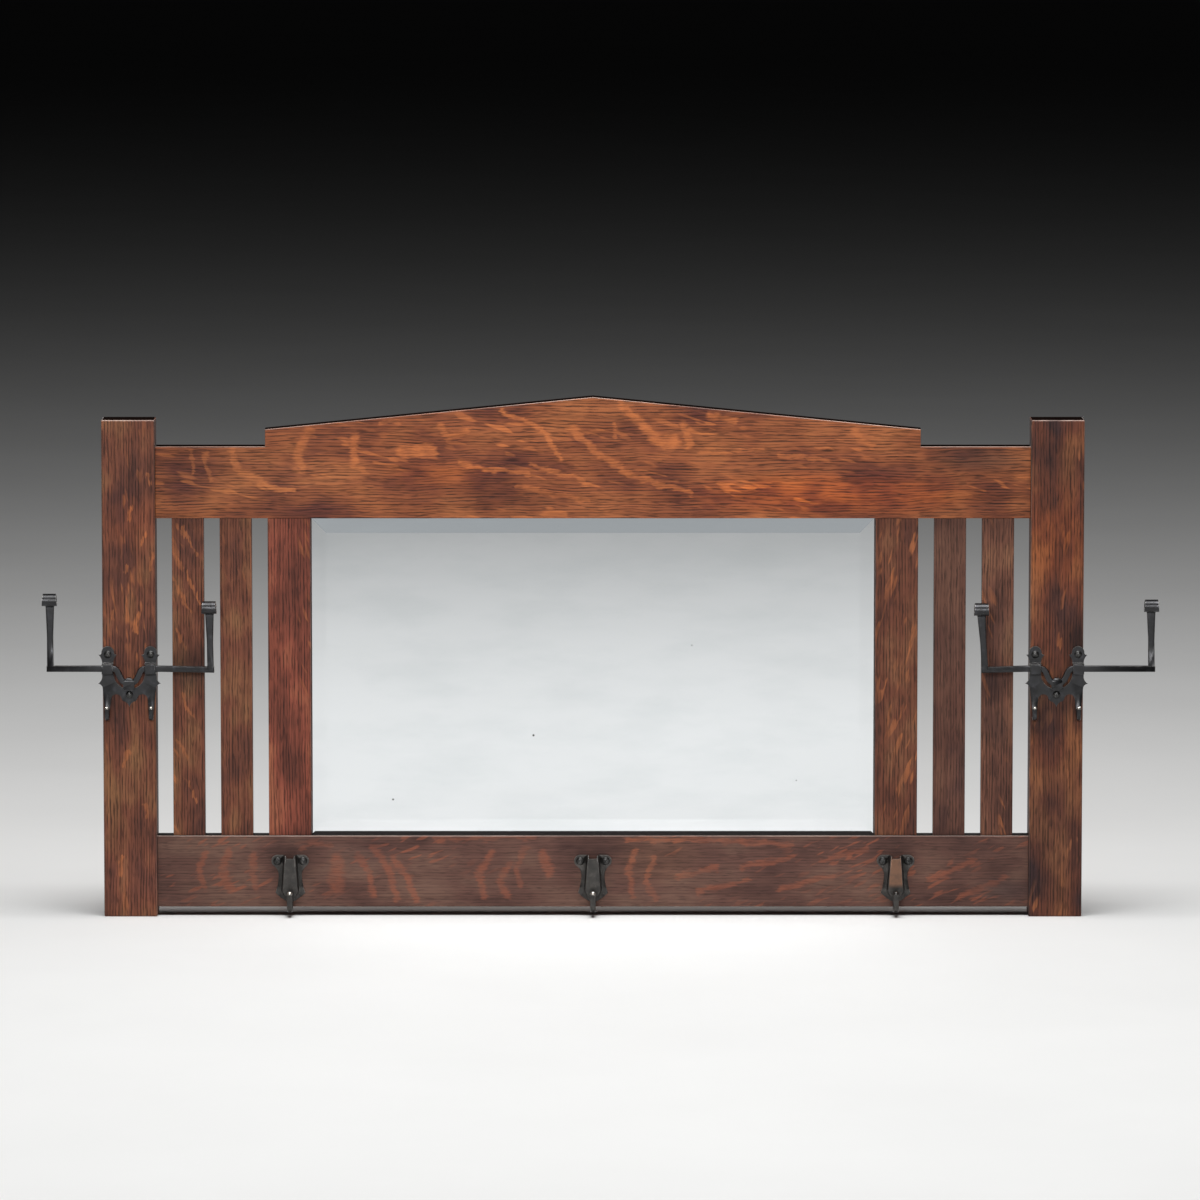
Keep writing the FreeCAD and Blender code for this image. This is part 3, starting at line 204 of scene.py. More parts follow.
@dataclass(frozen=True)
class OakFinish:
    """Quarter-sawn oak, dark stained and waxed: fine dark grain lines, open pores and silky ray flakes.

    The stain sinks into the pores and slides off the hard rays, which stay lighter and more orange.
    Upward faces are painted almost black, partly as end-grain stain and partly as painted shade,
    and side faces darker as painted shade. Upper front arrises are painted paler, partly as worn
    wood and partly as painted highlight.
    Lengths are in millimetres and the lean of the rays is in degrees.
    """

    node: str
    seed: float
    grain: Grain = Grain.UPRIGHT
    dark: str = "#452822"
    mid: str = "#683c2b"
    light: str = "#7b5337"
    ray: str = "#a3613a"
    # Upward and side faces: partly end-grain stain, partly painted shade
    end_grain_and_shade: str = "#100907"
    # Pale arrises: partly worn wood, partly painted highlight
    worn: str = "#d6bfb4"
    ray_share: float = 0.40
    ray_strength: float = 0.55
    ray_length: float = 30.0
    ray_width: float = 6.0
    ray_lean: float = 20.0
    line_spacing: float = 3.6
    line_depth: float = 0.70
    pore_length: float = 14.0
    pore_width: float = 1.3
    pore_depth: float = 0.55
    sway: float = 3.5
    end_shade: float = 1.0
    upper_rough: float = 0.2
    flakes: tuple[Flake, ...] = ()
    patches: tuple[TonePatch, ...] = ()

    def material(self) -> bpy.types.Material:
        """Make the board's material.

        Returns:
            A material on Object coordinates, its grain along the board.
        """
        material, tree, spot = new_material(f"quarter-sawn oak, {self.node.replace('_', ' ')}")
        parts = add_node(tree, "SeparateXYZ", spot)
        length, width = (parts[axis] for axis in self.grain.value)
        board = add_node(tree, "CombineXYZ", length, width, parts["Y"])[0]
        waved = self._waved(tree, board)
        streaks = self._noise(tree, waved, *Figure.STREAK.value)
        tone = self._noise(tree, waved, *Figure.TONE.value)
        blotch = self._noise(tree, board, *Figure.BLOTCH.value)
        shade = self._shade(tree, waved, streaks)
        colour = self._stain(tree, tone, blotch, shade)
        veil = add_node(tree, "MapRange", shade, 0.35, 1.0, 0.66, 1.04)[0]
        silk = add_node(tree, "VectorMath", linear(self.ray)[:3], named={"Scale": veil},
                        operation="SCALE")[0]
        colour = add_node(tree, "Mix", self._rays(tree, board), named={COLOUR_A: colour, COLOUR_B: silk},
                          data_type="RGBA")[COLOUR_OUT]
        if self.end_shade < 1.0:
            colour = self._ends(tree, colour, length)
        for patch in self.patches:
            colour = self._patched(tree, colour, board, blotch, patch)
        colour, upward = self._edges(tree, colour, tone)
        rough = add_node(tree, "MapRange", streaks, 0.3, 0.7, 0.60, 0.46)[0]
        # Upper faces are smooth from waxing and dusting, except where dust settles under the glass
        rough = add_node(tree, "Mix", upward, named={
            NUMBER_A: rough, NUMBER_B: self.upper_rough})[NUMBER_OUT]
        bump = add_node(tree, "Bump", named={
            "Strength": 0.35, "Distance": 0.3 * MM, "Height": shade})["Normal"]
        surface = add_node(tree, "BsdfPrincipled", named={
            "Base Color": colour, "Roughness": rough, "Normal": bump, "Specular IOR Level": 0.16})
        add_node(tree, "OutputMaterial", surface["BSDF"])
        return material

    def _noise(self, tree: Tree, place: Socket, length: float, width: float, detail: float,
               shift: float) -> Socket:
        """Noise drawn out along the grain.

        Args:
            tree: Material's node tree.
            place: Board coordinates in metres.
            length: Size along the grain, in millimetres.
            width: Size across the grain, in millimetres.
            detail: Octaves of finer noise.
            shift: Offset from the board's own seed.

        Returns:
            Values around a half.
        """
        scale = (1 / (length * MM), 1 / (width * MM), 1 / (width * MM))
        scaled = add_node(tree, "VectorMath", place, scale, operation="MULTIPLY")[0]
        return add_node(tree, "TexNoise", scaled, noise_dimensions="4D", named={
            "W": self.seed + shift, "Scale": 1.0, "Detail": detail, "Roughness": 0.55})["Fac"]

    def _waved(self, tree: Tree, board: Socket) -> Socket:
        """Board coordinates with the slow wave that grain lines follow.

        Args:
            tree: Material's node tree.
            board: Board coordinates in metres.

        Returns:
            Waved coordinates in metres.
        """
        wave = self._noise(tree, board, *Figure.WAVE.value)
        sway = add_node(tree, "MapRange", wave, 0.0, 1.0, -self.sway * MM, self.sway * MM)[0]
        move = add_node(tree, "CombineXYZ", 0.0, sway)[0]
        return add_node(tree, "VectorMath", board, move, operation="ADD")[0]

    def _shade(self, tree: Tree, waved: Socket, streaks: Socket) -> Socket:
        """Light and dark of the grain: soft streaks, fine lines and open pores, as a factor on the stain.

        Args:
            tree: Material's node tree.
            waved: Waved board coordinates in metres.
            streaks: Long soft streaks.

        Returns:
            Factor on the stain.
        """
        streak = add_node(tree, "MapRange", streaks, 0.36, 0.62, 0.90, 1.10)[0]
        line = add_node(tree, "Math", streak, self._lines(tree, waved), operation="MULTIPLY")[0]
        pores = self._noise(tree, waved, self.pore_length, self.pore_width, 1.0, 5.0)
        hole = add_node(tree, "MapRange", pores, 0.56, 0.66, 1.0, self.pore_depth)[0]
        return add_node(tree, "Math", line, hole, operation="MULTIPLY")[0]

    def _stain(self, tree: Tree, tone: Socket, blotch: Socket, shade: Socket) -> Socket:
        """Stained wood between the rays.

        Args:
            tree: Material's node tree.
            tone: Slow change of tone along the board.
            blotch: Soft blotches.
            shade: Light and dark of the grain.

        Returns:
            Colour of the wood.
        """
        both = add_node(tree, "Math", tone, blotch, operation="ADD")[0]
        mean = add_node(tree, "Math", both, 0.5, operation="MULTIPLY")[0]
        stain = add_node(tree, "ValToRGB", mean, stops=(
            (0.38, self.dark), (0.50, self.mid), (0.62, self.light)))["Color"]
        return add_node(tree, "VectorMath", stain, named={"Scale": shade}, operation="SCALE")[0]

    def _lines(self, tree: Tree, waved: Socket) -> Value:
        """Fine dark lines along the grain, broken in places, as a factor on the stain.

        Args:
            tree: Material's node tree.
            waved: Waved board coordinates in metres.

        Returns:
            Factor with one between the lines and less on them.
        """
        parts = add_node(tree, "SeparateXYZ", waved)
        place = add_node(tree, "Math", parts["Y"], parts["Z"], operation="ADD")[0]
        # Lines wander by a few millimetres over 90 mm of grain
        drift = self._noise(tree, waved, *Figure.DRIFT.value)
        place = add_node(tree, "Math", drift, 1.3 * self.line_spacing * MM, place,
                         operation="MULTIPLY_ADD")[0]
        factor: Value = 1.0
        # Two rows of lines out of step, so that their spacing never looks ruled
        for step, share, shift in ((1.0, 1.0, 41.0), (1.7, 0.5, 43.0)):
            pitch = step * self.line_spacing * MM
            away = add_node(tree, "Math", place, pitch / 2, operation="PINGPONG")[0]
            dark = add_node(tree, "MapRange", away, 0.06 * pitch, 0.22 * pitch, 1.0, 0.0)[0]
            # Each line breaks off about every 20 mm
            broken = self._noise(tree, waved, 20.0, self.line_spacing, 1.0, shift)
            depth = add_node(tree, "MapRange", broken, 0.38, 0.58, 0.08, share * self.line_depth)[0]
            loss = add_node(tree, "Math", dark, depth, operation="MULTIPLY")[0]
            kept = add_node(tree, "Math", 1.0, loss, operation="SUBTRACT")[0]
            factor = add_node(tree, "Math", kept, factor, operation="MULTIPLY")[0]
        return factor

    def _rays(self, tree: Tree, board: Socket) -> Socket:
        """Share of ray flake at each place: small leaning ribbons in clusters, and the large flakes.

        Args:
            tree: Material's node tree.
            board: Board coordinates in metres.

        Returns:
            Share of ray flake.
        """
        turned = add_node(tree, "VectorRotate", board, named={"Angle": math.radians(self.ray_lean)},
                          rotation_type="Z_AXIS")[0]
        ribbon = self._noise(tree, turned, self.ray_length, self.ray_width, 1.0, 17.0)
        ridge = add_node(tree, "MapRange", ribbon, 0.575, 0.635)[0]
        cluster = self._noise(tree, board, *Figure.CLUSTER.value)
        edge = 0.70 - 0.45 * self.ray_share
        where = add_node(tree, "MapRange", cluster, edge, edge + 0.16, 0.0, self.ray_strength)[0]
        small = add_node(tree, "Math", ridge, where, operation="MULTIPLY")[0]
        if not self.flakes:
            return small
        # Flake outlines wander by about 4 mm over 22 mm
        wander = add_node(tree, "TexNoise", board, named={"Scale": 45.0, "Detail": 1.5})["Color"]
        wander = add_node(tree, "VectorMath", wander, (0.5, 0.5, 0.5), operation="SUBTRACT")[0]
        moved = add_node(tree, "VectorMath", wander, (12.0 * MM,) * 3, board, operation="MULTIPLY_ADD")[0]
        flat = add_node(tree, "VectorMath", moved, (1.0, 1.0, 0.0), operation="MULTIPLY")[0]
        # Vessels 2 mm wide nick the edges of the flakes
        nicks = self._noise(tree, board, *Figure.NICK.value)
        nicks = add_node(tree, "MapRange", nicks, 0.3, 0.7, -2.6 * MM, 2.6 * MM)[0]
        large: Value = 0.0
        for flake in self.flakes:
            share = self._ribbon(tree, flat, nicks, flake)
            large = add_node(tree, "Math", share, large, operation="MAXIMUM")[0]
        patchy = self._noise(tree, board, *Figure.SILK.value)
        silk = add_node(tree, "MapRange", patchy, 0.36, 0.58, 0.5, 1.0)[0]
        large = add_node(tree, "Math", large, silk, operation="MULTIPLY")[0]
        return add_node(tree, "Math", small, large, operation="MAXIMUM")[0]

    def _ribbon(self, tree: Tree, flat: Socket, nicks: Socket, flake: Flake) -> Socket:
        """Share of one large flake.

        Args:
            tree: Material's node tree.
            flat: Board coordinates in metres, without depth.
            nicks: Distance in metres that vessels cut into the flake's edge.
            flake: Path and width of the flake.

        Returns:
            Share of the flake.
        """
        nearest: Value = 1.0
        for (along, across), (far_along, far_across) in zip(flake.path, flake.path[1:]):
            run = Vector(((far_along - along) * MM, (far_across - across) * MM, 0.0))
            start = (along * MM, across * MM, 0.0)
            here = add_node(tree, "VectorMath", flat, start, operation="SUBTRACT")[0]
            part = add_node(tree, "VectorMath", here, tuple(run / run.length_squared),
                            operation="DOT_PRODUCT")["Value"]
            held = add_node(tree, "Clamp", part)[0]
            point = add_node(tree, "VectorMath", tuple(run), named={"Scale": held}, operation="SCALE")[0]
            away = add_node(tree, "VectorMath", here, point, operation="DISTANCE")["Value"]
            nearest = add_node(tree, "Math", away, nearest, operation="MINIMUM")[0]
        half = flake.width / 2 * MM
        nearest = add_node(tree, "Math", nearest, nicks, operation="ADD")[0]
        return add_node(tree, "MapRange", nearest, half * 1.3, half * 0.4, 0.0, flake.strength,
                        interpolation_type="SMOOTHSTEP")[0]

    def _ends(self, tree: Tree, colour: Socket, length: Socket) -> Socket:
        """Darken the colour toward both ends of the board.

        Args:
            tree: Material's node tree.
            colour: Colour of the board's face.
            length: Place along the board in metres.

        Returns:
            Colour with its darker ends.
        """
        reach = add_node(tree, "Math", length, operation="ABSOLUTE")[0]
        # The middle 640 mm of the board keeps its full colour
        shade = add_node(tree, "MapRange", reach, 320 * MM, 490 * MM, 1.0, self.end_shade,
                         interpolation_type="SMOOTHSTEP")[0]
        return add_node(tree, "VectorMath", colour, named={"Scale": shade}, operation="SCALE")[0]

    def _patched(self, tree: Tree, colour: Socket, board: Socket, blotch: Socket, patch: TonePatch) -> Socket:
        """Change the colour within a soft patch.

        Args:
            tree: Material's node tree.
            colour: Colour of the board's face.
            board: Board coordinates in metres.
            blotch: Soft blotches, which break the patch's outline.
            patch: Place, size and gain of the patch.

        Returns:
            Colour with the patch.
        """
        middle = (patch.along * MM, patch.across * MM, 0.0)
        sizes = (1 / (patch.half_length * MM), 1 / (patch.half_width * MM), 0.0)
        here = add_node(tree, "VectorMath", board, middle, operation="SUBTRACT")[0]
        scaled = add_node(tree, "VectorMath", here, sizes, operation="MULTIPLY")[0]
        reach = add_node(tree, "VectorMath", scaled, operation="LENGTH")["Value"]
        ragged = add_node(tree, "Math", blotch, 0.6, reach, operation="MULTIPLY_ADD")[0]
        share = add_node(tree, "MapRange", ragged, 1.5, 0.5, interpolation_type="SMOOTHSTEP")[0]
        gain = add_node(tree, "Mix", share, named={VECTOR_A: (1.0, 1.0, 1.0), VECTOR_B: patch.gain},
                        data_type="VECTOR")[VECTOR_OUT]
        return add_node(tree, "VectorMath", colour, gain, operation="MULTIPLY")[0]

    def _edges(self, tree: Tree, colour: Socket, tone: Socket) -> tuple[Socket, Socket]:
        """Paint upward faces almost black, partly end-grain stain and partly painted shade, side faces
        darker as painted shade, and upper front arrises paler, partly worn wood and partly painted
        highlight.

        Args:
            tree: Material's node tree.
            colour: Colour of the board's face.
            tone: Slow change of tone over the board.

        Returns:
            Colour with its painted dark faces and pale arrises, and the share of upward face.
        """
        normal = add_node(tree, "NewGeometry")["Normal"]
        ways = add_node(tree, "SeparateXYZ", normal)
        facing = add_node(tree, "VectorMath", normal, operation="ABSOLUTE")[0]
        sides = add_node(tree, "SeparateXYZ", facing)
        most = add_node(tree, "Math", sides["X"], sides["Y"], operation="MAXIMUM")[0]
        most = add_node(tree, "Math", most, sides["Z"], operation="MAXIMUM")[0]
        # Pale arrises facing up and to the front: partly worn wood, partly painted highlight
        bare = add_node(tree, "MapRange", most, 0.97, 0.80, 0.0, 0.62)[0]
        rubbed = add_node(tree, "MapRange", tone, 0.38, 0.58, 0.3, 1.0)[0]
        upper = add_node(tree, "MapRange", ways["Z"], 0.15, 0.5, 0.18, 1.0)[0]
        front = add_node(tree, "MapRange", ways["Y"], -0.2, -0.5)[0]
        for share in (rubbed, upper, front):
            bare = add_node(tree, "Math", bare, share, operation="MULTIPLY")[0]
        # Upward faces painted almost black, partly end-grain stain and partly painted shade; side faces
        # painted darker as shade
        upward = add_node(tree, "MapRange", ways["Z"], 0.80, 0.97, 0.0, 0.98)[0]
        shaded_sides = add_node(tree, "MapRange", sides["X"], 0.80, 0.97, 0.0, 0.6)[0]
        stained_and_shaded = add_node(tree, "Math", upward, shaded_sides, operation="MAXIMUM")[0]
        for share, code in ((stained_and_shaded, self.end_grain_and_shade), (bare, self.worn)):
            colour = add_node(tree, "Mix", share, named={COLOUR_A: colour, COLOUR_B: linear(code)},
                              data_type="RGBA")[COLOUR_OUT]
        return colour, upward


@dataclass(frozen=True)
class Knot:
    """Knot in a pine board: its middle on the board and its half width, in millimetres."""

    across: float
    height: float
    half: float

    def offset(self, tree: Tree, spot: Socket, squeeze: float) -> tuple[Socket, Socket]:
        """Way from the knot's middle over the face of the board.

        Args:
            tree: Material's node tree.
            spot: Object coordinates.
            squeeze: Factor along the grain, under one for a drawn-out knot.

        Returns:
            The way and its length, in metres.
        """
        middle = (self.across * MM, 0.0, self.height * MM)
        away = add_node(tree, "VectorMath", spot, middle, operation="SUBTRACT")[0]
        flat = add_node(tree, "VectorMath", away, (squeeze, 0.0, 1.0), operation="MULTIPLY")[0]
        return flat, add_node(tree, "VectorMath", flat, operation="LENGTH")["Value"]


@dataclass(frozen=True)
class PineFinish:
    """Bare pine browned with age: straight soft grain, a knot or two and grime in the seams.

    The heights of its lower and upper edges are in millimetres.
    """

    name: str
    early: str
    late: str
    seed: float
    knots: tuple[Knot, ...] = ()
    knot_colour: str = "#3f2513"
    edges: tuple[float, float] = (-500.0, 500.0)

    def material(self) -> bpy.types.Material:
        """Make the pine.

        Returns:
            A matt material on Object coordinates, its grain along X.
        """
        material, tree, spot = new_material(self.name)
        bent = self._bent(tree, spot)
        # Growth rings about 7 mm apart, drawn out for 600 mm along the board
        drawn = add_node(tree, "VectorMath", bent, (1.7, 140.0, 140.0), operation="MULTIPLY")[0]
        rings = add_node(tree, "TexNoise", drawn, noise_dimensions="4D", named={
            "W": self.seed, "Scale": 1.0, "Detail": 3.0, "Roughness": 0.6})["Fac"]
        tint = add_node(tree, "ValToRGB", rings, stops=((0.36, self.late), (0.56, self.early)))["Color"]
        tint = add_node(tree, "Mix", self._knotty(tree, spot), data_type="RGBA", named={
            COLOUR_A: tint, COLOUR_B: linear(self.knot_colour)})[COLOUR_OUT]
        # Dust in clouds about 110 mm across
        dust = add_node(tree, "TexNoise", spot, named={"Scale": 9.0, "Detail": 5.0})["Fac"]
        grime = add_node(tree, "MapRange", dust, 0.32, 0.62, 0.72, 1.0)[0]
        height = add_node(tree, "SeparateXYZ", spot)["Z"]
        # Grime lies in the outer 2.2 mm along each seam
        for edge, clear in zip(self.edges, (self.edges[0] + 2.2, self.edges[1] - 2.2)):
            seam = add_node(tree, "MapRange", height, edge * MM, clear * MM, 0.22, 1.0,
                            interpolation_type="SMOOTHSTEP")[0]
            grime = add_node(tree, "Math", grime, seam, operation="MULTIPLY")[0]
        colour = add_node(tree, "VectorMath", tint, named={"Scale": grime}, operation="SCALE")[0]
        # Saw marks 3 mm apart across the board
        saw = add_node(tree, "TexWave", spot, named={"Scale": 105.0, "Distortion": 1.4, "Detail": 1.0},
                       bands_direction="X")["Fac"]
        relief = add_node(tree, "Math", saw, 0.3, rings, operation="MULTIPLY_ADD")[0]
        bump = add_node(tree, "Bump", named={
            "Strength": 0.25, "Distance": 0.3 * MM, "Height": relief})["Normal"]
        rough = add_node(tree, "MapRange", dust, 0.0, 1.0, 0.70, 0.88)[0]
        surface = add_node(tree, "BsdfPrincipled", named={
            "Base Color": colour, "Roughness": rough, "Normal": bump, "Specular IOR Level": 0.25})
        add_node(tree, "OutputMaterial", surface["BSDF"])
        return material

    def _bent(self, tree: Tree, spot: Socket) -> Socket:
        """Coordinates pushed away from each knot, as the grain flows round it, with a slow wave.

        Args:
            tree: Material's node tree.
            spot: Object coordinates.

        Returns:
            Bent coordinates in metres.
        """
        # The grain sways by up to 22 mm over about 330 mm
        slow = add_node(tree, "TexNoise", spot, named={"W": self.seed, "Scale": 3.0, "Detail": 1.0},
                        noise_dimensions="4D")["Fac"]
        sway = add_node(tree, "MapRange", slow, 0.0, 1.0, -22.0 * MM, 22.0 * MM)[0]
        move = add_node(tree, "CombineXYZ", 0.0, 0.0, sway)[0]
        bent = add_node(tree, "VectorMath", spot, move, operation="ADD")[0]
        for knot in self.knots:
            flat, reach = knot.offset(tree, spot, 0.35)
            pull = add_node(tree, "MapRange", reach, 0.0, knot.half * 4 * MM, -0.75, 0.0,
                            interpolation_type="SMOOTHSTEP")[0]
            shift = add_node(tree, "VectorMath", flat, named={"Scale": pull}, operation="SCALE")[0]
            rise = add_node(tree, "VectorMath", shift, (0.0, 0.0, 1.0), operation="MULTIPLY")[0]
            bent = add_node(tree, "VectorMath", bent, rise, operation="ADD")[0]
        return bent

    def _knotty(self, tree: Tree, spot: Socket) -> Value:
        """Share of dark knot at each place.

        Args:
            tree: Material's node tree.
            spot: Object coordinates.

        Returns:
            Share of knot.
        """
        found: Value = 0.0
        for knot in self.knots:
            reach = knot.offset(tree, spot, 0.7)[1]
            dark = add_node(tree, "MapRange", reach, knot.half * 1.25 * MM, knot.half * 0.6 * MM, 0.0, 0.85,
                            interpolation_type="SMOOTHSTEP")[0]
            found = add_node(tree, "Math", dark, found, operation="MAXIMUM")[0]
        return found


@dataclass(frozen=True)
class IronFinish:
    """Forged iron under a black oil finish: mottled scale, soft sheen and greyer rubbed spots.

    Depths and heights on the mirror are in millimetres.
    """

    name: str
    scale_dark: str
    scale_grey: str
    rubbed: str
    wear: Iron = Iron.BLACK
    rough_low: float = 0.28
    rough_high: float = 0.44
    edge_wear_and_sheen: float = 0.75
    edge_colour: str = "#96928d"
    patina: str = "#76543f"
    patina_foot: float = -393.0
    face_depth: float = 0.0
    tip_colour: str = "#c9c4bb"
    tip_rough: float = 0.26
    tip_depth: float = -45.0
    tip_heights: tuple[tuple[float, float], ...] = ((-399.0, -396.0), (-175.0, -172.5))

    def material(self) -> bpy.types.Material:
        """Make the iron.

        Returns:
            A metal on Object coordinates.
        """
        material, tree, spot = new_material(self.name)
        # Forge scale in blotches about 7 mm across, with grit about 1 mm across
        blotch = add_node(tree, "TexNoise", spot, named={"Scale": 140.0, "Detail": 4.0})["Fac"]
        grit = add_node(tree, "TexNoise", spot, named={"Scale": 900.0, "Detail": 2.0})["Fac"]
        mottle = add_node(tree, "MapRange", blotch, 0.34, 0.66)[0]
        bare = add_node(tree, "MapRange", blotch, 0.58, 0.72, 0.0, 0.5)[0]
        colour: Value = linear(self.scale_dark)
        for share, code in ((mottle, self.scale_grey), (bare, self.rubbed)):
            colour = add_node(tree, "Mix", share, named={COLOUR_A: colour, COLOUR_B: linear(code)},
                              data_type="RGBA")[COLOUR_OUT]
        if self.wear is Iron.HANDLED:
            colour = self._patina(tree, spot, blotch, colour)
        if self.edge_wear_and_sheen > 0.0:
            colour = self._rubbed_and_lit_edges(tree, colour, blotch)
        rough = add_node(tree, "MapRange", blotch, 0.3, 0.7, self.rough_high, self.rough_low)[0]
        if self.tip_heights:
            tip = self._tips(tree, spot)
            colour = add_node(tree, "Mix", tip, named={COLOUR_A: colour, COLOUR_B: linear(self.tip_colour)},
                              data_type="RGBA")[COLOUR_OUT]
            rough = add_node(tree, "Mix", tip, named={
                NUMBER_A: rough, NUMBER_B: self.tip_rough})[NUMBER_OUT]
        relief = add_node(tree, "Math", grit, 0.35, blotch, operation="MULTIPLY_ADD")[0]
        bump = add_node(tree, "Bump", named={
            "Strength": 0.18, "Distance": 0.3 * MM, "Height": relief})["Normal"]
        # The coat is thin wax over the black, which gives the rolled ends their clear highlight
        surface = add_node(tree, "BsdfPrincipled", named={
            "Base Color": colour, "Roughness": rough, "Normal": bump, "Metallic": 0.85,
            "Coat Weight": 0.5, "Coat Roughness": 0.36})
        add_node(tree, "OutputMaterial", surface["BSDF"])
        return material

    def _rubbed_and_lit_edges(self, tree: Tree, colour: Socket, blotch: Socket) -> Socket:
        """Paler lines along the edges where the black has rubbed off, stronger on the upper edges as a
        painted highlight.

        Args:
            tree: Material's node tree.
            colour: Colour of the black iron.
            blotch: Mottling of the scale, which breaks the lines.

        Returns:
            Colour with the pale edges.
        """
        normal = add_node(tree, "NewGeometry")["Normal"]
        # The pale band reaches 1.1 mm from each edge
        eased = add_node(tree, "Bevel", 1.1 * MM, samples=6)["Normal"]
        match = add_node(tree, "VectorMath", normal, eased, operation="DOT_PRODUCT")["Value"]
        worn = add_node(tree, "MapRange", match, 0.98, 0.80, 0.0, self.edge_wear_and_sheen)[0]
        rise = add_node(tree, "SeparateXYZ", eased)["Z"]
        # The upper edges get most: painted highlight on top of the wear
        upper = add_node(tree, "MapRange", rise, 0.05, 0.45, 0.15, 1.0)[0]
        patchy = add_node(tree, "MapRange", blotch, 0.36, 0.58, 0.35, 1.0)[0]
        for share in (upper, patchy):
            worn = add_node(tree, "Math", worn, share, operation="MULTIPLY")[0]
        return add_node(tree, "Mix", worn, named={COLOUR_A: colour, COLOUR_B: linear(self.edge_colour)},
                        data_type="RGBA")[COLOUR_OUT]

    def _tips(self, tree: Tree, spot: Socket) -> Socket:
        """Bright colour on the upper front of each hook's tip: partly metal rubbed bare, partly painted
        highlight.

        Args:
            tree: Material's node tree.
            spot: Object coordinates.

        Returns:
            Share of bright tip colour.
        """
        parts = add_node(tree, "SeparateXYZ", spot)
        # Only the front of each tip, near its top: painted highlight over the rubbed metal
        front = add_node(tree, "MapRange", parts["Y"], self.tip_depth * MM, (self.tip_depth - 1.0) * MM)[0]
        bare: Value = 0.0
        for low, high in self.tip_heights:
            above = add_node(tree, "MapRange", parts["Z"], low * MM, high * MM)[0]
            below = add_node(tree, "MapRange", parts["Z"], (high + 5.0) * MM, (high + 4.0) * MM)[0]
            near = add_node(tree, "Math", above, below, operation="MULTIPLY")[0]
            bare = add_node(tree, "Math", near, bare, operation="MAXIMUM")[0]
        return add_node(tree, "Math", bare, front, operation="MULTIPLY")[0]

    def _patina(self, tree: Tree, spot: Socket, blotch: Socket, colour: Socket) -> Socket:
        """Brown bloom on the raised front face, where hands have worn the black away.

        Args:
            tree: Material's node tree.
            spot: Object coordinates.
            blotch: Mottling of the scale.
            colour: Colour of the black iron.

        Returns:
            Colour with the bloom.
        """
        normal = add_node(tree, "NewGeometry")["Normal"]
        toward = add_node(tree, "SeparateXYZ", normal)["Y"]
        bloom = add_node(tree, "MapRange", toward, -0.90, -0.97)[0]
        parts = add_node(tree, "SeparateXYZ", spot)
        raised = add_node(tree, "MapRange", parts["Y"], self.face_depth * MM,
                          (self.face_depth - 1.5) * MM)[0]
        above = add_node(tree, "MapRange", parts["Z"], self.patina_foot * MM,
                         (self.patina_foot + 6.0) * MM)[0]
        patchy = add_node(tree, "MapRange", blotch, 0.30, 0.55, 0.55, 0.95)[0]
        for share in (raised, above, patchy):
            bloom = add_node(tree, "Math", bloom, share, operation="MULTIPLY")[0]
        return add_node(tree, "Mix", bloom, named={COLOUR_A: colour, COLOUR_B: linear(self.patina)},
                        data_type="RGBA")[COLOUR_OUT]


@dataclass(frozen=True)
class SteelFinish:
    """Rolled mild steel, dull with age: fine drawn lines and a few brown freckles."""

    name: str = "rolled mild steel"
    bright: str = "#8f8c86"
    dull: str = "#625f5a"
    rust: str = "#5b3a24"

    def material(self) -> bpy.types.Material:
        """Make the steel.

        Returns:
            A metal on Object coordinates, drawn along Z.
        """
        material, tree, spot = new_material(self.name)
        # Lines about 1 mm wide and 17 mm long
        drawn = add_node(tree, "VectorMath", spot, (900.0, 900.0, 60.0), operation="MULTIPLY")[0]
        lines = add_node(tree, "TexNoise", drawn, named={"Scale": 1.0, "Detail": 2.0})["Fac"]
        # Freckles about 5 mm across
        stains = add_node(tree, "TexNoise", spot, named={"Scale": 190.0, "Detail": 4.0})["Fac"]
        freckle = add_node(tree, "MapRange", stains, 0.60, 0.70, 0.0, 0.8)[0]
        colour: Value = linear(self.dull)
        for share, code in ((lines, self.bright), (freckle, self.rust)):
            colour = add_node(tree, "Mix", share, named={COLOUR_A: colour, COLOUR_B: linear(code)},
                              data_type="RGBA")[COLOUR_OUT]
        rough = add_node(tree, "MapRange", stains, 0.3, 0.7, 0.36, 0.70)[0]
        bump = add_node(tree, "Bump", named={
            "Strength": 0.2, "Distance": 0.1 * MM, "Height": lines})["Normal"]
        surface = add_node(tree, "BsdfPrincipled", named={
            "Base Color": colour, "Roughness": rough, "Normal": bump, "Metallic": 0.9})
        add_node(tree, "OutputMaterial", surface["BSDF"])
        return material


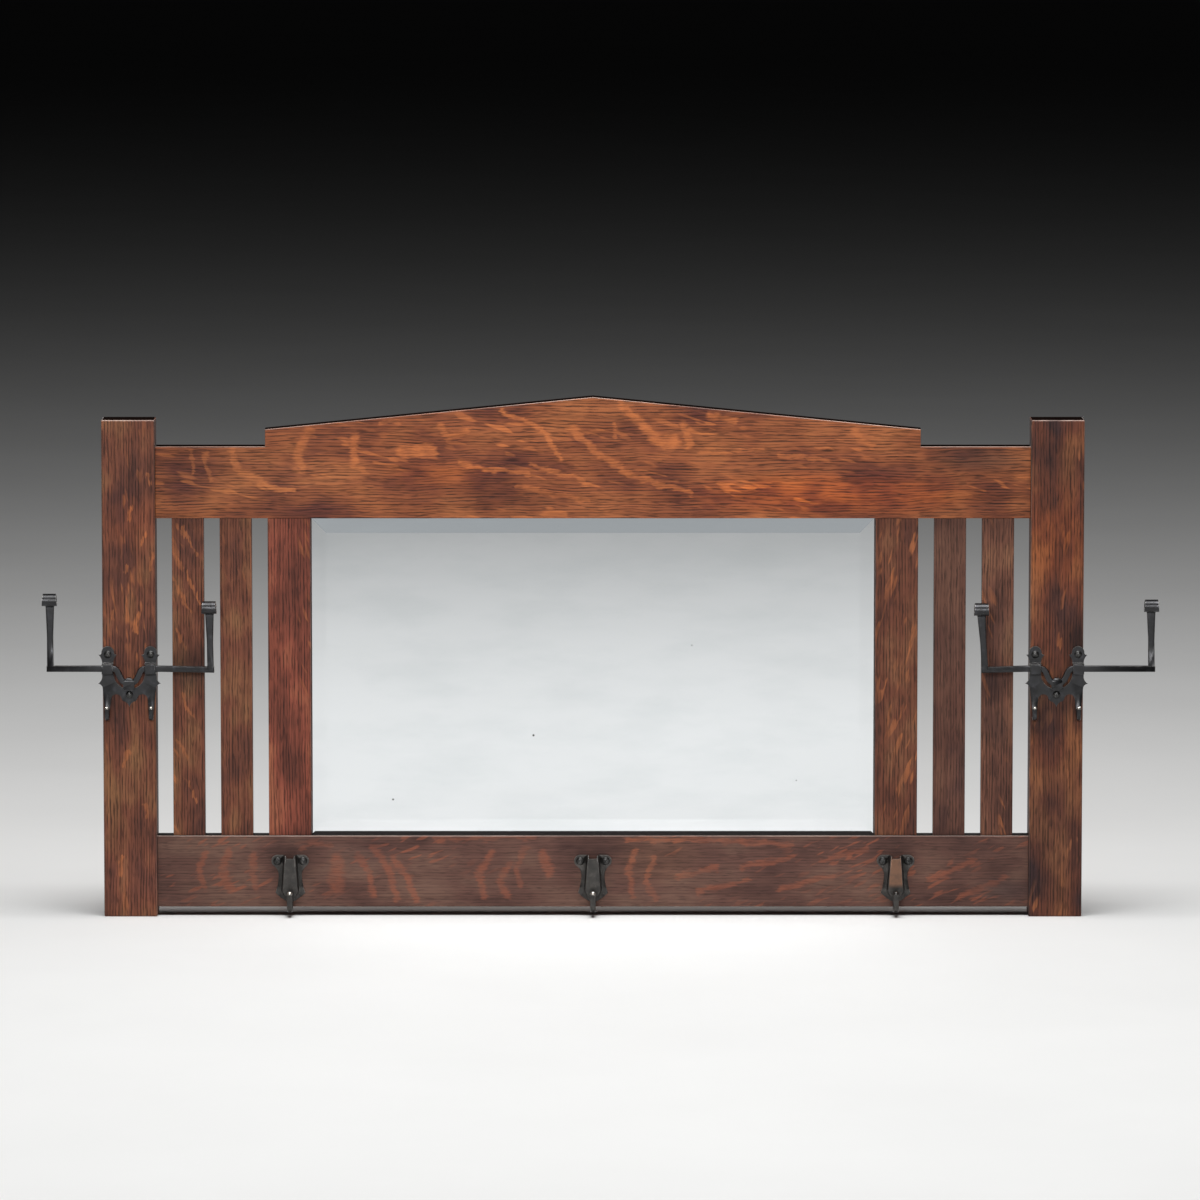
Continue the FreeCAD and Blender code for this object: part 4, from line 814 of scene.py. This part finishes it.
@dataclass(frozen=True)
class SilveredGlass:
    """Old silvered plate glass: a clean cool reflection, faint wiping haze and a few dark pinholes.

    Each pinhole has its place across the plate, its height and its radius, in millimetres.
    """

    name: str = "silvered plate glass"
    silver: str = "#f0f3f5"
    haze: str = "#e9edef"
    loss: str = "#3b3a36"
    pinholes: tuple[tuple[float, float, float], ...] = (
        (-71.0, -210.5, 1.5), (-239.0, -288.0, 1.3), (118.0, -102.0, 0.8), (243.0, -265.0, 0.8))

    def material(self) -> bpy.types.Material:
        """Make the mirror.

        Returns:
            A polished metal on Object coordinates.
        """
        material, tree, spot = new_material(self.name)
        # Wiping haze in soft level sweeps about 120 mm long
        swept = add_node(tree, "VectorMath", spot, (8.0, 8.0, 26.0), operation="MULTIPLY")[0]
        cloud = add_node(tree, "TexNoise", swept, named={
            "Scale": 1.0, "Detail": 5.0, "Roughness": 0.6})["Fac"]
        film = add_node(tree, "MapRange", cloud, 0.42, 0.70)[0]
        colour: Value = linear(self.silver)
        for share, code in ((film, self.haze), (self._flaws(tree, spot), self.loss)):
            colour = add_node(tree, "Mix", share, named={COLOUR_A: colour, COLOUR_B: linear(code)},
                              data_type="RGBA")[COLOUR_OUT]
        rough = add_node(tree, "MapRange", film, 0.0, 1.0, 0.035, 0.075)[0]
        surface = add_node(tree, "BsdfPrincipled", named={
            "Base Color": colour, "Roughness": rough, "Metallic": 1.0})
        add_node(tree, "OutputMaterial", surface["BSDF"])
        return material

    def _flaws(self, tree: Tree, spot: Socket) -> Value:
        """Small round losses in the silver.

        Args:
            tree: Material's node tree.
            spot: Object coordinates.

        Returns:
            Share of lost silver.
        """
        flaw: Value = 0.0
        face = add_node(tree, "VectorMath", spot, (1.0, 0.0, 1.0), operation="MULTIPLY")[0]
        for across, height, radius in self.pinholes:
            middle = (across * MM, 0.0, height * MM)
            away = add_node(tree, "VectorMath", face, middle, operation="DISTANCE")["Value"]
            dot = add_node(tree, "MapRange", away, radius * MM, radius * 0.6 * MM)[0]
            flaw = add_node(tree, "Math", dot, flaw, operation="MAXIMUM")[0]
        return flaw


@dataclass(frozen=True)
class PaperFinish:
    """Pale seamless background paper: matt, with a very faint fibre."""

    name: str = "pale background paper"
    tint: str = "#f1f1f0"
    fibre: str = "#e9e9e8"

    def material(self) -> bpy.types.Material:
        """Make the paper.

        Returns:
            A matt material on Object coordinates.
        """
        material, tree, spot = new_material(self.name)
        # Clouds of fibre about 330 mm across
        cloud = add_node(tree, "TexNoise", spot, named={"Scale": 3.0, "Detail": 4.0})["Fac"]
        colour = add_node(tree, "Mix", cloud, data_type="RGBA", named={
            COLOUR_A: linear(self.tint), COLOUR_B: linear(self.fibre)})[COLOUR_OUT]
        surface = add_node(tree, "BsdfPrincipled", named={
            "Base Color": colour, "Roughness": 0.85, "Specular IOR Level": 0.05})
        add_node(tree, "OutputMaterial", surface["BSDF"])
        return material


def dress(node: str, material: bpy.types.Material) -> None:
    """Give a node of the model its finish.

    Args:
        node: Name of the node.
        material: Finish for all of its faces.
    """
    slots = frame["nodes"][node].data.materials
    slots.clear()
    slots.append(material)
    LOG.info("%s: %s", node, material.name)


def smooth_copy(node: str, name: str, material: bpy.types.Material) -> None:
    """Model a forged piece over its node: welded, smooth on its curves and crisp at its edges.

    Args:
        node: Name of the node that the piece stands for.
        name: Name of the new piece.
        material: Finish of the piece.
    """
    bpy.ops.object.select_all(action="DESELECT")
    piece = bpy.data.objects.new(name, frame["nodes"][node].data.copy())
    bpy.context.scene.collection.objects.link(piece)
    piece.select_set(True)
    bpy.context.view_layer.objects.active = piece
    bpy.ops.object.mode_set(mode="EDIT")
    bpy.ops.mesh.select_all(action="SELECT")
    bpy.ops.mesh.remove_doubles(threshold=WELD)
    bpy.ops.object.mode_set(mode="OBJECT")
    bpy.ops.object.shade_smooth_by_angle(angle=CREASE)
    piece.data.materials.clear()
    piece.data.materials.append(material)
    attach(piece, BODY)
    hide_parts(node)
    LOG.info("%s: %d faces", name, len(piece.data.polygons))


@dataclass
class OakFrame:
    """Posts, rails, slats and stiles, each board with its own figure."""

    top_flakes: tuple[Flake, ...] = (
        Flake(((-475, 132), (-475, 104)), 5, 0.3),
        Flake(((-459, 130), (-455, 96)), 6, 0.35),
        Flake(((-429, 132), (-422, 107), (-395, 96)), 9, 0.45),
        Flake(((-395, 94), (-358, 82)), 7, 0.6),
        Flake(((-337, 156), (-352, 130), (-346, 112)), 13, 0.45),
        Flake(((-281, 150), (-285, 119)), 11, 0.6),
        Flake(((-250, 166), (-231, 169)), 8, 0.5),
        Flake(((-226, 133), (-193, 132)), 16, 0.8),
        Flake(((-181, 162), (-171, 149), (-149, 157)), 9, 0.6),
        Flake(((-107, 179), (-62, 159), (-38, 122)), 7, 0.75),
        Flake(((-26, 159), (11, 125)), 10, 0.6),
        Flake(((-158, 116), (-78, 104)), 7, 0.6),
        Flake(((-75, 116), (-11, 96)), 6, 0.6),
        Flake(((-90, 90), (-3, 72)), 6, 0.45),
        Flake(((33, 189), (59, 163), (85, 139)), 11, 0.75),
        Flake(((75, 147), (95, 142)), 18, 0.75),
        Flake(((109, 163), (114, 137)), 10, 0.65),
        Flake(((139, 174), (168, 167)), 10, 0.6),
        Flake(((9, 125), (60, 98), (116, 82)), 8, 0.55),
        Flake(((224, 128), (280, 120)), 6, 0.5),
        Flake(((24, 165), (27, 147)), 5, 0.5),
        Flake(((128, 130), (200, 133)), 5, 0.45),
        Flake(((308, 156), (329, 137)), 9, 0.4),
    )
    bottom_flakes: tuple[Flake, ...] = (
        Flake(((-463, -352), (-470, -373), (-466, -392)), 9, 0.5),
        Flake(((-435, -350), (-441, -374), (-433, -395)), 11, 0.5),
        Flake(((-404, -352), (-409, -375), (-402, -394)), 8, 0.4),
        Flake(((-306, -362), (-306, -391)), 20, 0.5),
        Flake(((-281, -356), (-268, -376), (-263, -401)), 10, 0.55),
        Flake(((-261, -344), (-243, -374), (-236, -407)), 9, 0.5),
        Flake(((-238, -359), (-219, -384), (-213, -408)), 10, 0.55),
        Flake(((-349, -347), (-335, -338), (-314, -343)), 6, 0.3),
        Flake(((-122, -352), (-137, -377), (-130, -404)), 10, 0.5),
        Flake(((-101, -364), (-112, -386), (-103, -404)), 9, 0.45),
        Flake(((-59, -353), (-53, -375)), 13, 0.5),
        Flake(((-79, -345), (-92, -367), (-88, -390)), 8, 0.4),
        Flake(((52, -350), (41, -376), (48, -405)), 9, 0.45),
        Flake(((71, -359), (64, -386), (75, -405)), 8, 0.4),
        Flake(((100, -381), (148, -369)), 7, 0.45),
        Flake(((128, -398), (186, -383)), 7, 0.5),
        Flake(((179, -369), (238, -357)), 7, 0.45),
        Flake(((224, -395), (286, -379)), 8, 0.5),
        Flake(((272, -362), (327, -347)), 7, 0.45),
        Flake(((403, -383), (453, -362)), 8, 0.5),
        Flake(((439, -403), (494, -383)), 7, 0.45),
        Flake(((-190, -334), (-70, -333)), 5, 0.35),
        Flake(((40, -335), (150, -336), (238, -340)), 7, 0.5),
    )
    post_flakes: tuple[Flake, ...] = (
        Flake(((105, -527), (94, -526)), 4, 0.6),
        Flake(((64, -549), (52, -550)), 5, 0.6),
        Flake(((34, -531), (22, -536)), 3, 0.6),
        Flake(((10, -525), (-8, -526)), 4, 0.6),
        Flake(((-4, -553), (-13, -555)), 4, 0.6),
        Flake(((-58, -569), (-66, -571)), 5, 0.5),
        Flake(((-64, -541), (-84, -544)), 6, 0.85),
        Flake(((-228, -556), (-246, -559)), 5, 0.6),
        Flake(((-292, -534), (-306, -532)), 4, 0.55),
        Flake(((-355, -562), (-377, -566)), 5, 0.6),
    )
    slat_flakes: tuple[Flake, ...] = (
        Flake(((43, -494), (28, -487)), 3, 0.5),
        Flake(((40, -488), (7, -473)), 4, 0.6),
        Flake(((7, -499), (-8, -490)), 5, 0.6),
        Flake(((-11, -484), (-50, -469)), 3, 0.65),
        Flake(((-20, -499), (-62, -481)), 4, 0.55),
        Flake(((-84, -496), (-104, -486)), 3, 0.5),
        Flake(((-160, -492), (-186, -478)), 3, 0.55),
        Flake(((-214, -498), (-238, -484)), 4, 0.55),
        Flake(((-262, -488), (-290, -474)), 3, 0.5),
    )
    top_patches: tuple[TonePatch, ...] = (
        TonePatch(-400, 100, 160, 50, (1.12, 1.24, 1.32)),
        TonePatch(-187, 106, 66, 18, (1.50, 1.42, 1.12)),
        TonePatch(-110, 72, 125, 16, (0.68, 0.66, 0.70)),
        TonePatch(285, 80, 175, 27, (1.95, 1.62, 0.96)),
        TonePatch(458, 122, 66, 18, (0.55, 0.64, 0.90)),
    )
    bottom_patches: tuple[TonePatch, ...] = (
        TonePatch(-356, -372, 36, 46, (0.78, 0.78, 0.78)),
        TonePatch(-276, -352, 46, 26, (0.82, 0.82, 0.87)),
        TonePatch(-1, -372, 34, 46, (0.85, 0.85, 0.85)),
        TonePatch(76, -356, 58, 36, (1.42, 1.48, 1.30)),
        TonePatch(360, -372, 34, 46, (0.80, 0.80, 0.80)),
        TonePatch(494, -396, 42, 18, (0.70, 0.78, 0.87)),
    )
    # The two narrow dark patches beside the hat plate are partly iron stain and partly painted shadow of
    # the plate
    left_post_patches: tuple[TonePatch, ...] = (
        TonePatch(50, -546, 42, 60, (1.28, 1.16, 1.05)),
        TonePatch(-161, -577, 45, 13, (0.60, 0.60, 0.60)),
        TonePatch(-203, -516, 32, 13, (0.55, 0.55, 0.55)),
        TonePatch(-382, -546, 50, 60, (1.22, 1.22, 1.28)),
    )
    # The darker patches near the hat plate are partly iron stain and partly painted shadow of the plate
    right_post_patches: tuple[TonePatch, ...] = (
        TonePatch(122, 547, 40, 60, (0.70, 0.72, 0.80)),
        TonePatch(26, 547, 76, 60, (1.32, 1.14, 0.86)),
        TonePatch(-98, 577, 34, 24, (0.40, 0.40, 0.42)),
        TonePatch(-165, 547, 50, 60, (0.58, 0.68, 0.80)),
        TonePatch(-147, 514, 75, 9, (0.60, 0.60, 0.62)),
        TonePatch(-196, 527, 28, 18, (0.65, 0.65, 0.67)),
        TonePatch(-340, 546, 130, 70, (0.70, 0.78, 0.92)),
    )
    # Dark patch at the hat bar: partly iron stain, partly painted shadow of the bar
    left_slat_patches: tuple[TonePatch, ...] = (TonePatch(-130, -477, 38, 42, (0.42, 0.44, 0.50)),)
    # The darker patch at the hat bar is partly iron stain and partly painted shadow of the bar
    right_inner_slat_patches: tuple[TonePatch, ...] = (
        TonePatch(-95, 422, 46, 42, (0.76, 0.74, 0.78)),
        TonePatch(-272, 422, 52, 42, (1.34, 1.42, 1.38)),
    )
    # The darker patches at the hat bar are partly iron stain and partly painted shadow of the bar
    right_outer_slat_patches: tuple[TonePatch, ...] = (
        TonePatch(-92, 478, 40, 42, (0.78, 0.80, 0.86)),
        TonePatch(-146, 478, 26, 42, (0.62, 0.62, 0.66)),
        TonePatch(-196, 478, 36, 42, (1.22, 1.30, 1.26)),
    )

    def finishes(self) -> tuple[OakFinish, ...]:
        """Finish of each board.

        Returns:
            Finishes, each with the name of its board's node.
        """
        return (
            OakFinish("top_rail", 1.7, Grain.LEVEL, dark="#572b20", mid="#82472a", light="#9a5a34",
                      ray="#bd6c3b", ray_share=0.48, ray_strength=0.65, ray_lean=12, line_spacing=3.4,
                      line_depth=0.75, pore_length=18, pore_width=1.5, pore_depth=0.5, sway=7.0,
                      end_shade=0.84, flakes=self.top_flakes, patches=self.top_patches),
            OakFinish("bottom_rail", 8.3, Grain.LEVEL, dark="#422b26", mid="#573b33", light="#654a3f",
                      ray="#894c36", ray_share=0.5, ray_length=24, ray_width=5, ray_lean=-24,
                      line_depth=0.30, pore_depth=0.70, end_shade=0.92, upper_rough=1.0,
                      flakes=self.bottom_flakes, patches=self.bottom_patches),
            OakFinish("left_post", 14.1, ray_share=0.45, ray_lean=6,
                      flakes=self.post_flakes, patches=self.left_post_patches),
            OakFinish("right_post", 21.9, dark="#3a2320", mid="#5f3424", light="#7e4d30", ray_lean=-8,
                      patches=self.right_post_patches),
            OakFinish("left_outer_slat", 33.2, ray_share=0.45, ray_lean=30,
                      flakes=self.slat_flakes, patches=self.left_slat_patches),
            OakFinish("left_inner_slat", 41.6, ray_share=0.2),
            OakFinish("left_stile", 52.8, dark="#582d22", mid="#7a3f2f", light="#8d533b"),
            OakFinish("right_stile", 64.5, dark="#42251e", mid="#5f3626", light="#744c34", ray_share=0.5,
                      ray_lean=-14),
            OakFinish("right_inner_slat", 73.4, dark="#3a2320", mid="#513228", light="#5f3f32",
                      ray_share=0.25, ray_lean=42, line_depth=0.5, patches=self.right_inner_slat_patches),
            OakFinish("right_outer_slat", 85.7, dark="#472b23", mid="#674132", light="#7a543d",
                      patches=self.right_outer_slat_patches),
        )

    def build(self) -> None:
        """Dress every board of the frame."""
        for finish in self.finishes():
            dress(finish.node, finish.material())


@dataclass
class MirrorGlass:
    """Bevelled plate between the stiles."""

    finish: SilveredGlass = field(default_factory=SilveredGlass)

    def build(self) -> None:
        """Dress the plate."""
        dress("mirror_plate", self.finish.material())


@dataclass
class IronFittings:
    """Hat fittings on the posts and coat hooks on the bottom rail, with their screws.

    The depth of the rail's front and the stand of the hook's rib are in millimetres.
    """

    rail_front: float = -30.0
    rib_stand: float = 4.0
    black: IronFinish = field(default_factory=lambda: IronFinish(
        "blackened forged iron", "#1a1a1b", "#27272a", "#434347"))
    worn: IronFinish = field(default_factory=lambda: IronFinish(
        "blackened forged iron, worn grey", "#2b2927", "#3d3a37", "#54504d"))
    screw: IronFinish = field(default_factory=lambda: IronFinish(
        "blackened screw steel", "#242322", "#383736", "#504e4c", rough_low=0.34, rough_high=0.5,
        edge_wear_and_sheen=0.0, tip_heights=()))

    def build(self) -> None:
        """Model the forged pieces and dress them."""
        black = self.black.material()
        worn = self.worn.material()
        handled = self.handled().material()
        screw = self.screw.material()
        for side in ("left", "right"):
            for part in ("hat_plate", "hat_bar"):
                smooth_copy(f"{side}_{part}", f"{side}_{part}_forged", black)
            smooth_copy(f"{side}_hat_plate_screws", f"{side}_hat_plate_screw_heads", screw)
        for side, finish in (("left", worn), ("middle", worn), ("right", handled)):
            smooth_copy(f"{side}_coat_hook", f"{side}_coat_hook_forged", finish)
        smooth_copy("coat_hook_screws", "coat_hook_screw_heads", screw)

    def handled(self) -> IronFinish:
        """Finish of the coat hook whose black has worn to brown on the raised face."""
        return replace(self.worn, name="blackened forged iron, handled", wear=Iron.HANDLED,
                       face_depth=self.rail_front - self.rib_stand, tip_heights=())


@dataclass
class BackPanel:
    """Backboards, glue blocks, wall hangers and their screws."""

    boards: dict[str, PineFinish] = field(default_factory=lambda: {
        "lower_backboard": PineFinish("aged pine, lower backboard", "#8a6440", "#6e4c2c", 3.1,
                                      (Knot(-186, -298, 7), Knot(243, -262, 5))),
        "middle_backboard": PineFinish("aged pine, middle backboard", "#95704a", "#785534", 10.1,
                                       (Knot(96, -118, 8),)),
        "upper_backboard": PineFinish("aged pine, upper backboard", "#836042", "#66482d", 17.1,
                                      (Knot(-262, 24, 6), Knot(171, -8, 5)))})
    blocks: PineFinish = field(default_factory=lambda: PineFinish(
        "bare pine, glue blocks", "#a3774a", "#7a5230", 40.0))

    def build(self) -> None:
        """Dress the pieces on the back."""
        for node, finish in self.boards.items():
            heights = [vertex.co.z / MM for vertex in frame["nodes"][node].data.vertices]
            dress(node, replace(finish, edges=(min(heights), max(heights))).material())
        dress("mirror_wedges", self.blocks.material())
        steel = SteelFinish().material()
        dress("backboard_screws", steel)
        for side in ("left", "right"):
            dress(f"{side}_keyhole_hanger", steel)
            dress(f"{side}_hanger_screws", steel)


@dataclass(frozen=True)
class SoftBox:
    """Studio area light: sizes and places above the floor in metres, power in watts, spread in degrees."""

    name: str
    place: tuple[float, float, float]
    aim: tuple[float, float, float]
    width: float
    height: float
    power: float
    spread: float
    flagged: bool = False

    def build(self, floor: float, mirror: bpy.types.Collection) -> None:
        """Hang the light, flagged off the floor if it is meant for the mirror alone.

        Args:
            floor: Height of the floor.
            mirror: Pieces of the mirror.
        """
        data = bpy.data.lights.new(self.name, "AREA")
        data.shape = "RECTANGLE"
        data.size = self.width
        data.size_y = self.height
        data.energy = self.power
        data.spread = math.radians(self.spread)
        lamp = bpy.data.objects.new(self.name, data)
        bpy.context.scene.collection.objects.link(lamp)
        lift = Vector((0.0, 0.0, floor))
        lamp.location = Vector(self.place) + lift
        ray = Vector(self.aim) + lift - lamp.location
        lamp.rotation_euler = ray.to_track_quat("-Z", "Y").to_euler()
        if self.flagged:
            lamp.light_linking.receiver_collection = mirror
        LOG.info("light %s", self.name)


@dataclass
class Studio:
    """Pale floor, soft lights and a dark surround with a grey band in front."""

    floor_size: float = 60.0
    surround: str = "#030303"
    band: str = "#b2b5b7"
    lights: tuple[SoftBox, ...] = (
        SoftBox("overhead_softbox", (0.0, -0.8, 5.0), (0.0, -0.8, 0.0), 4.0, 1.8, 158.0, 148.0),
        SoftBox("front_softbox", (0.0, -1.6, 4.4), (0.0, -1.6, 0.0), 3.0, 1.4, 21.0, 110.0),
        SoftBox("left_fill", (-1.0, -5.0, 1.9), (0.0, 0.0, 0.45), 1.2, 0.9, 9.5, 50.0, flagged=True),
        SoftBox("right_fill", (1.0, -5.0, 1.9), (0.0, 0.0, 0.45), 1.2, 0.9, 6.2, 50.0, flagged=True),
        SoftBox("left_back_fill", (-2.6, 3.8, 1.8), (0.0, 0.0, 0.40), 1.0, 0.8, 6.0, 50.0, flagged=True),
        SoftBox("right_back_fill", (2.6, 3.8, 1.8), (0.0, 0.0, 0.40), 1.0, 0.8, 6.0, 50.0, flagged=True),
    )

    def build(self) -> None:
        """Lay the floor, hang the lights and set the surround."""
        floor = CAD_BOX[0].z
        bpy.ops.object.select_all(action="DESELECT")
        bpy.ops.mesh.primitive_plane_add(size=self.floor_size, location=(0.0, 0.0, floor))
        paper = bpy.context.object
        paper.name = "floor"
        bpy.ops.object.transform_apply(location=True, rotation=True, scale=True)
        paper.data.materials.append(PaperFinish().material())
        mirror = bpy.data.collections.new("mirror")
        for item in bpy.data.objects:
            if item.type == "MESH" and item is not paper:
                mirror.objects.link(item)
        for light in self.lights:
            light.build(floor, mirror)
        self._surround()
        bpy.context.scene.view_settings.view_transform = "Standard"

    def _surround(self) -> None:
        """Dark surround, with a soft grey band low in front of the mirror."""
        world = bpy.data.worlds.new("studio")
        world.use_nodes = True
        bpy.context.scene.world = world
        tree = world.node_tree
        tree.nodes.clear()
        parts = add_node(tree, "SeparateXYZ", add_node(tree, "TexCoord")["Generated"])
        ahead = add_node(tree, "MapRange", parts["Y"], -0.90, -0.97)[0]
        low = add_node(tree, "MapRange", parts["Z"], 0.20, 0.10)[0]
        share = add_node(tree, "Math", ahead, low, operation="MULTIPLY")[0]
        colour = add_node(tree, "Mix", share, data_type="RGBA", named={
            COLOUR_A: linear(self.surround), COLOUR_B: linear(self.band)})[COLOUR_OUT]
        shade = add_node(tree, "Background", colour, 1.0)
        add_node(tree, "OutputWorld", shade[0])


@dataclass
class PhotoCamera:
    """Long-lens camera in front of the mirror, a little above it, in millimetres and degrees."""

    across: float = 8.44
    distance: float = 9000.0
    height: float = 1137.9
    tilt: float = 6.435
    sensor: float = 36.0
    lens: float = 227.86
    shift: float = -0.12
    reach: float = 200_000.0

    def build(self) -> None:
        """Set up the camera and make it the scene's own."""
        data = bpy.data.cameras.new("photo_camera")
        data.sensor_width = self.sensor
        data.lens = self.lens
        data.shift_y = self.shift
        data.clip_end = self.reach * MM
        camera = bpy.data.objects.new("photo_camera", data)
        bpy.context.scene.collection.objects.link(camera)
        camera.location = (self.across * MM, -self.distance * MM, self.height * MM)
        camera.rotation_euler = (math.radians(90 - self.tilt), 0.0, 0.0)
        bpy.context.scene.camera = camera
        LOG.info("camera at %s", tuple(round(part, 3) for part in camera.location))


def write_sizes() -> None:
    """Log a closing line; no sizes are written."""
    LOG.info("sizes written")


def main() -> None:
    """Dress the mirror, set up the studio and the camera."""
    logging.basicConfig(level=logging.INFO, format="%(name)s: %(message)s")
    for assembly in (OakFrame(), MirrorGlass(), IronFittings(), BackPanel(), Studio(), PhotoCamera()):
        assembly.build()
    write_sizes()


if __name__ == "__main__":
    main()
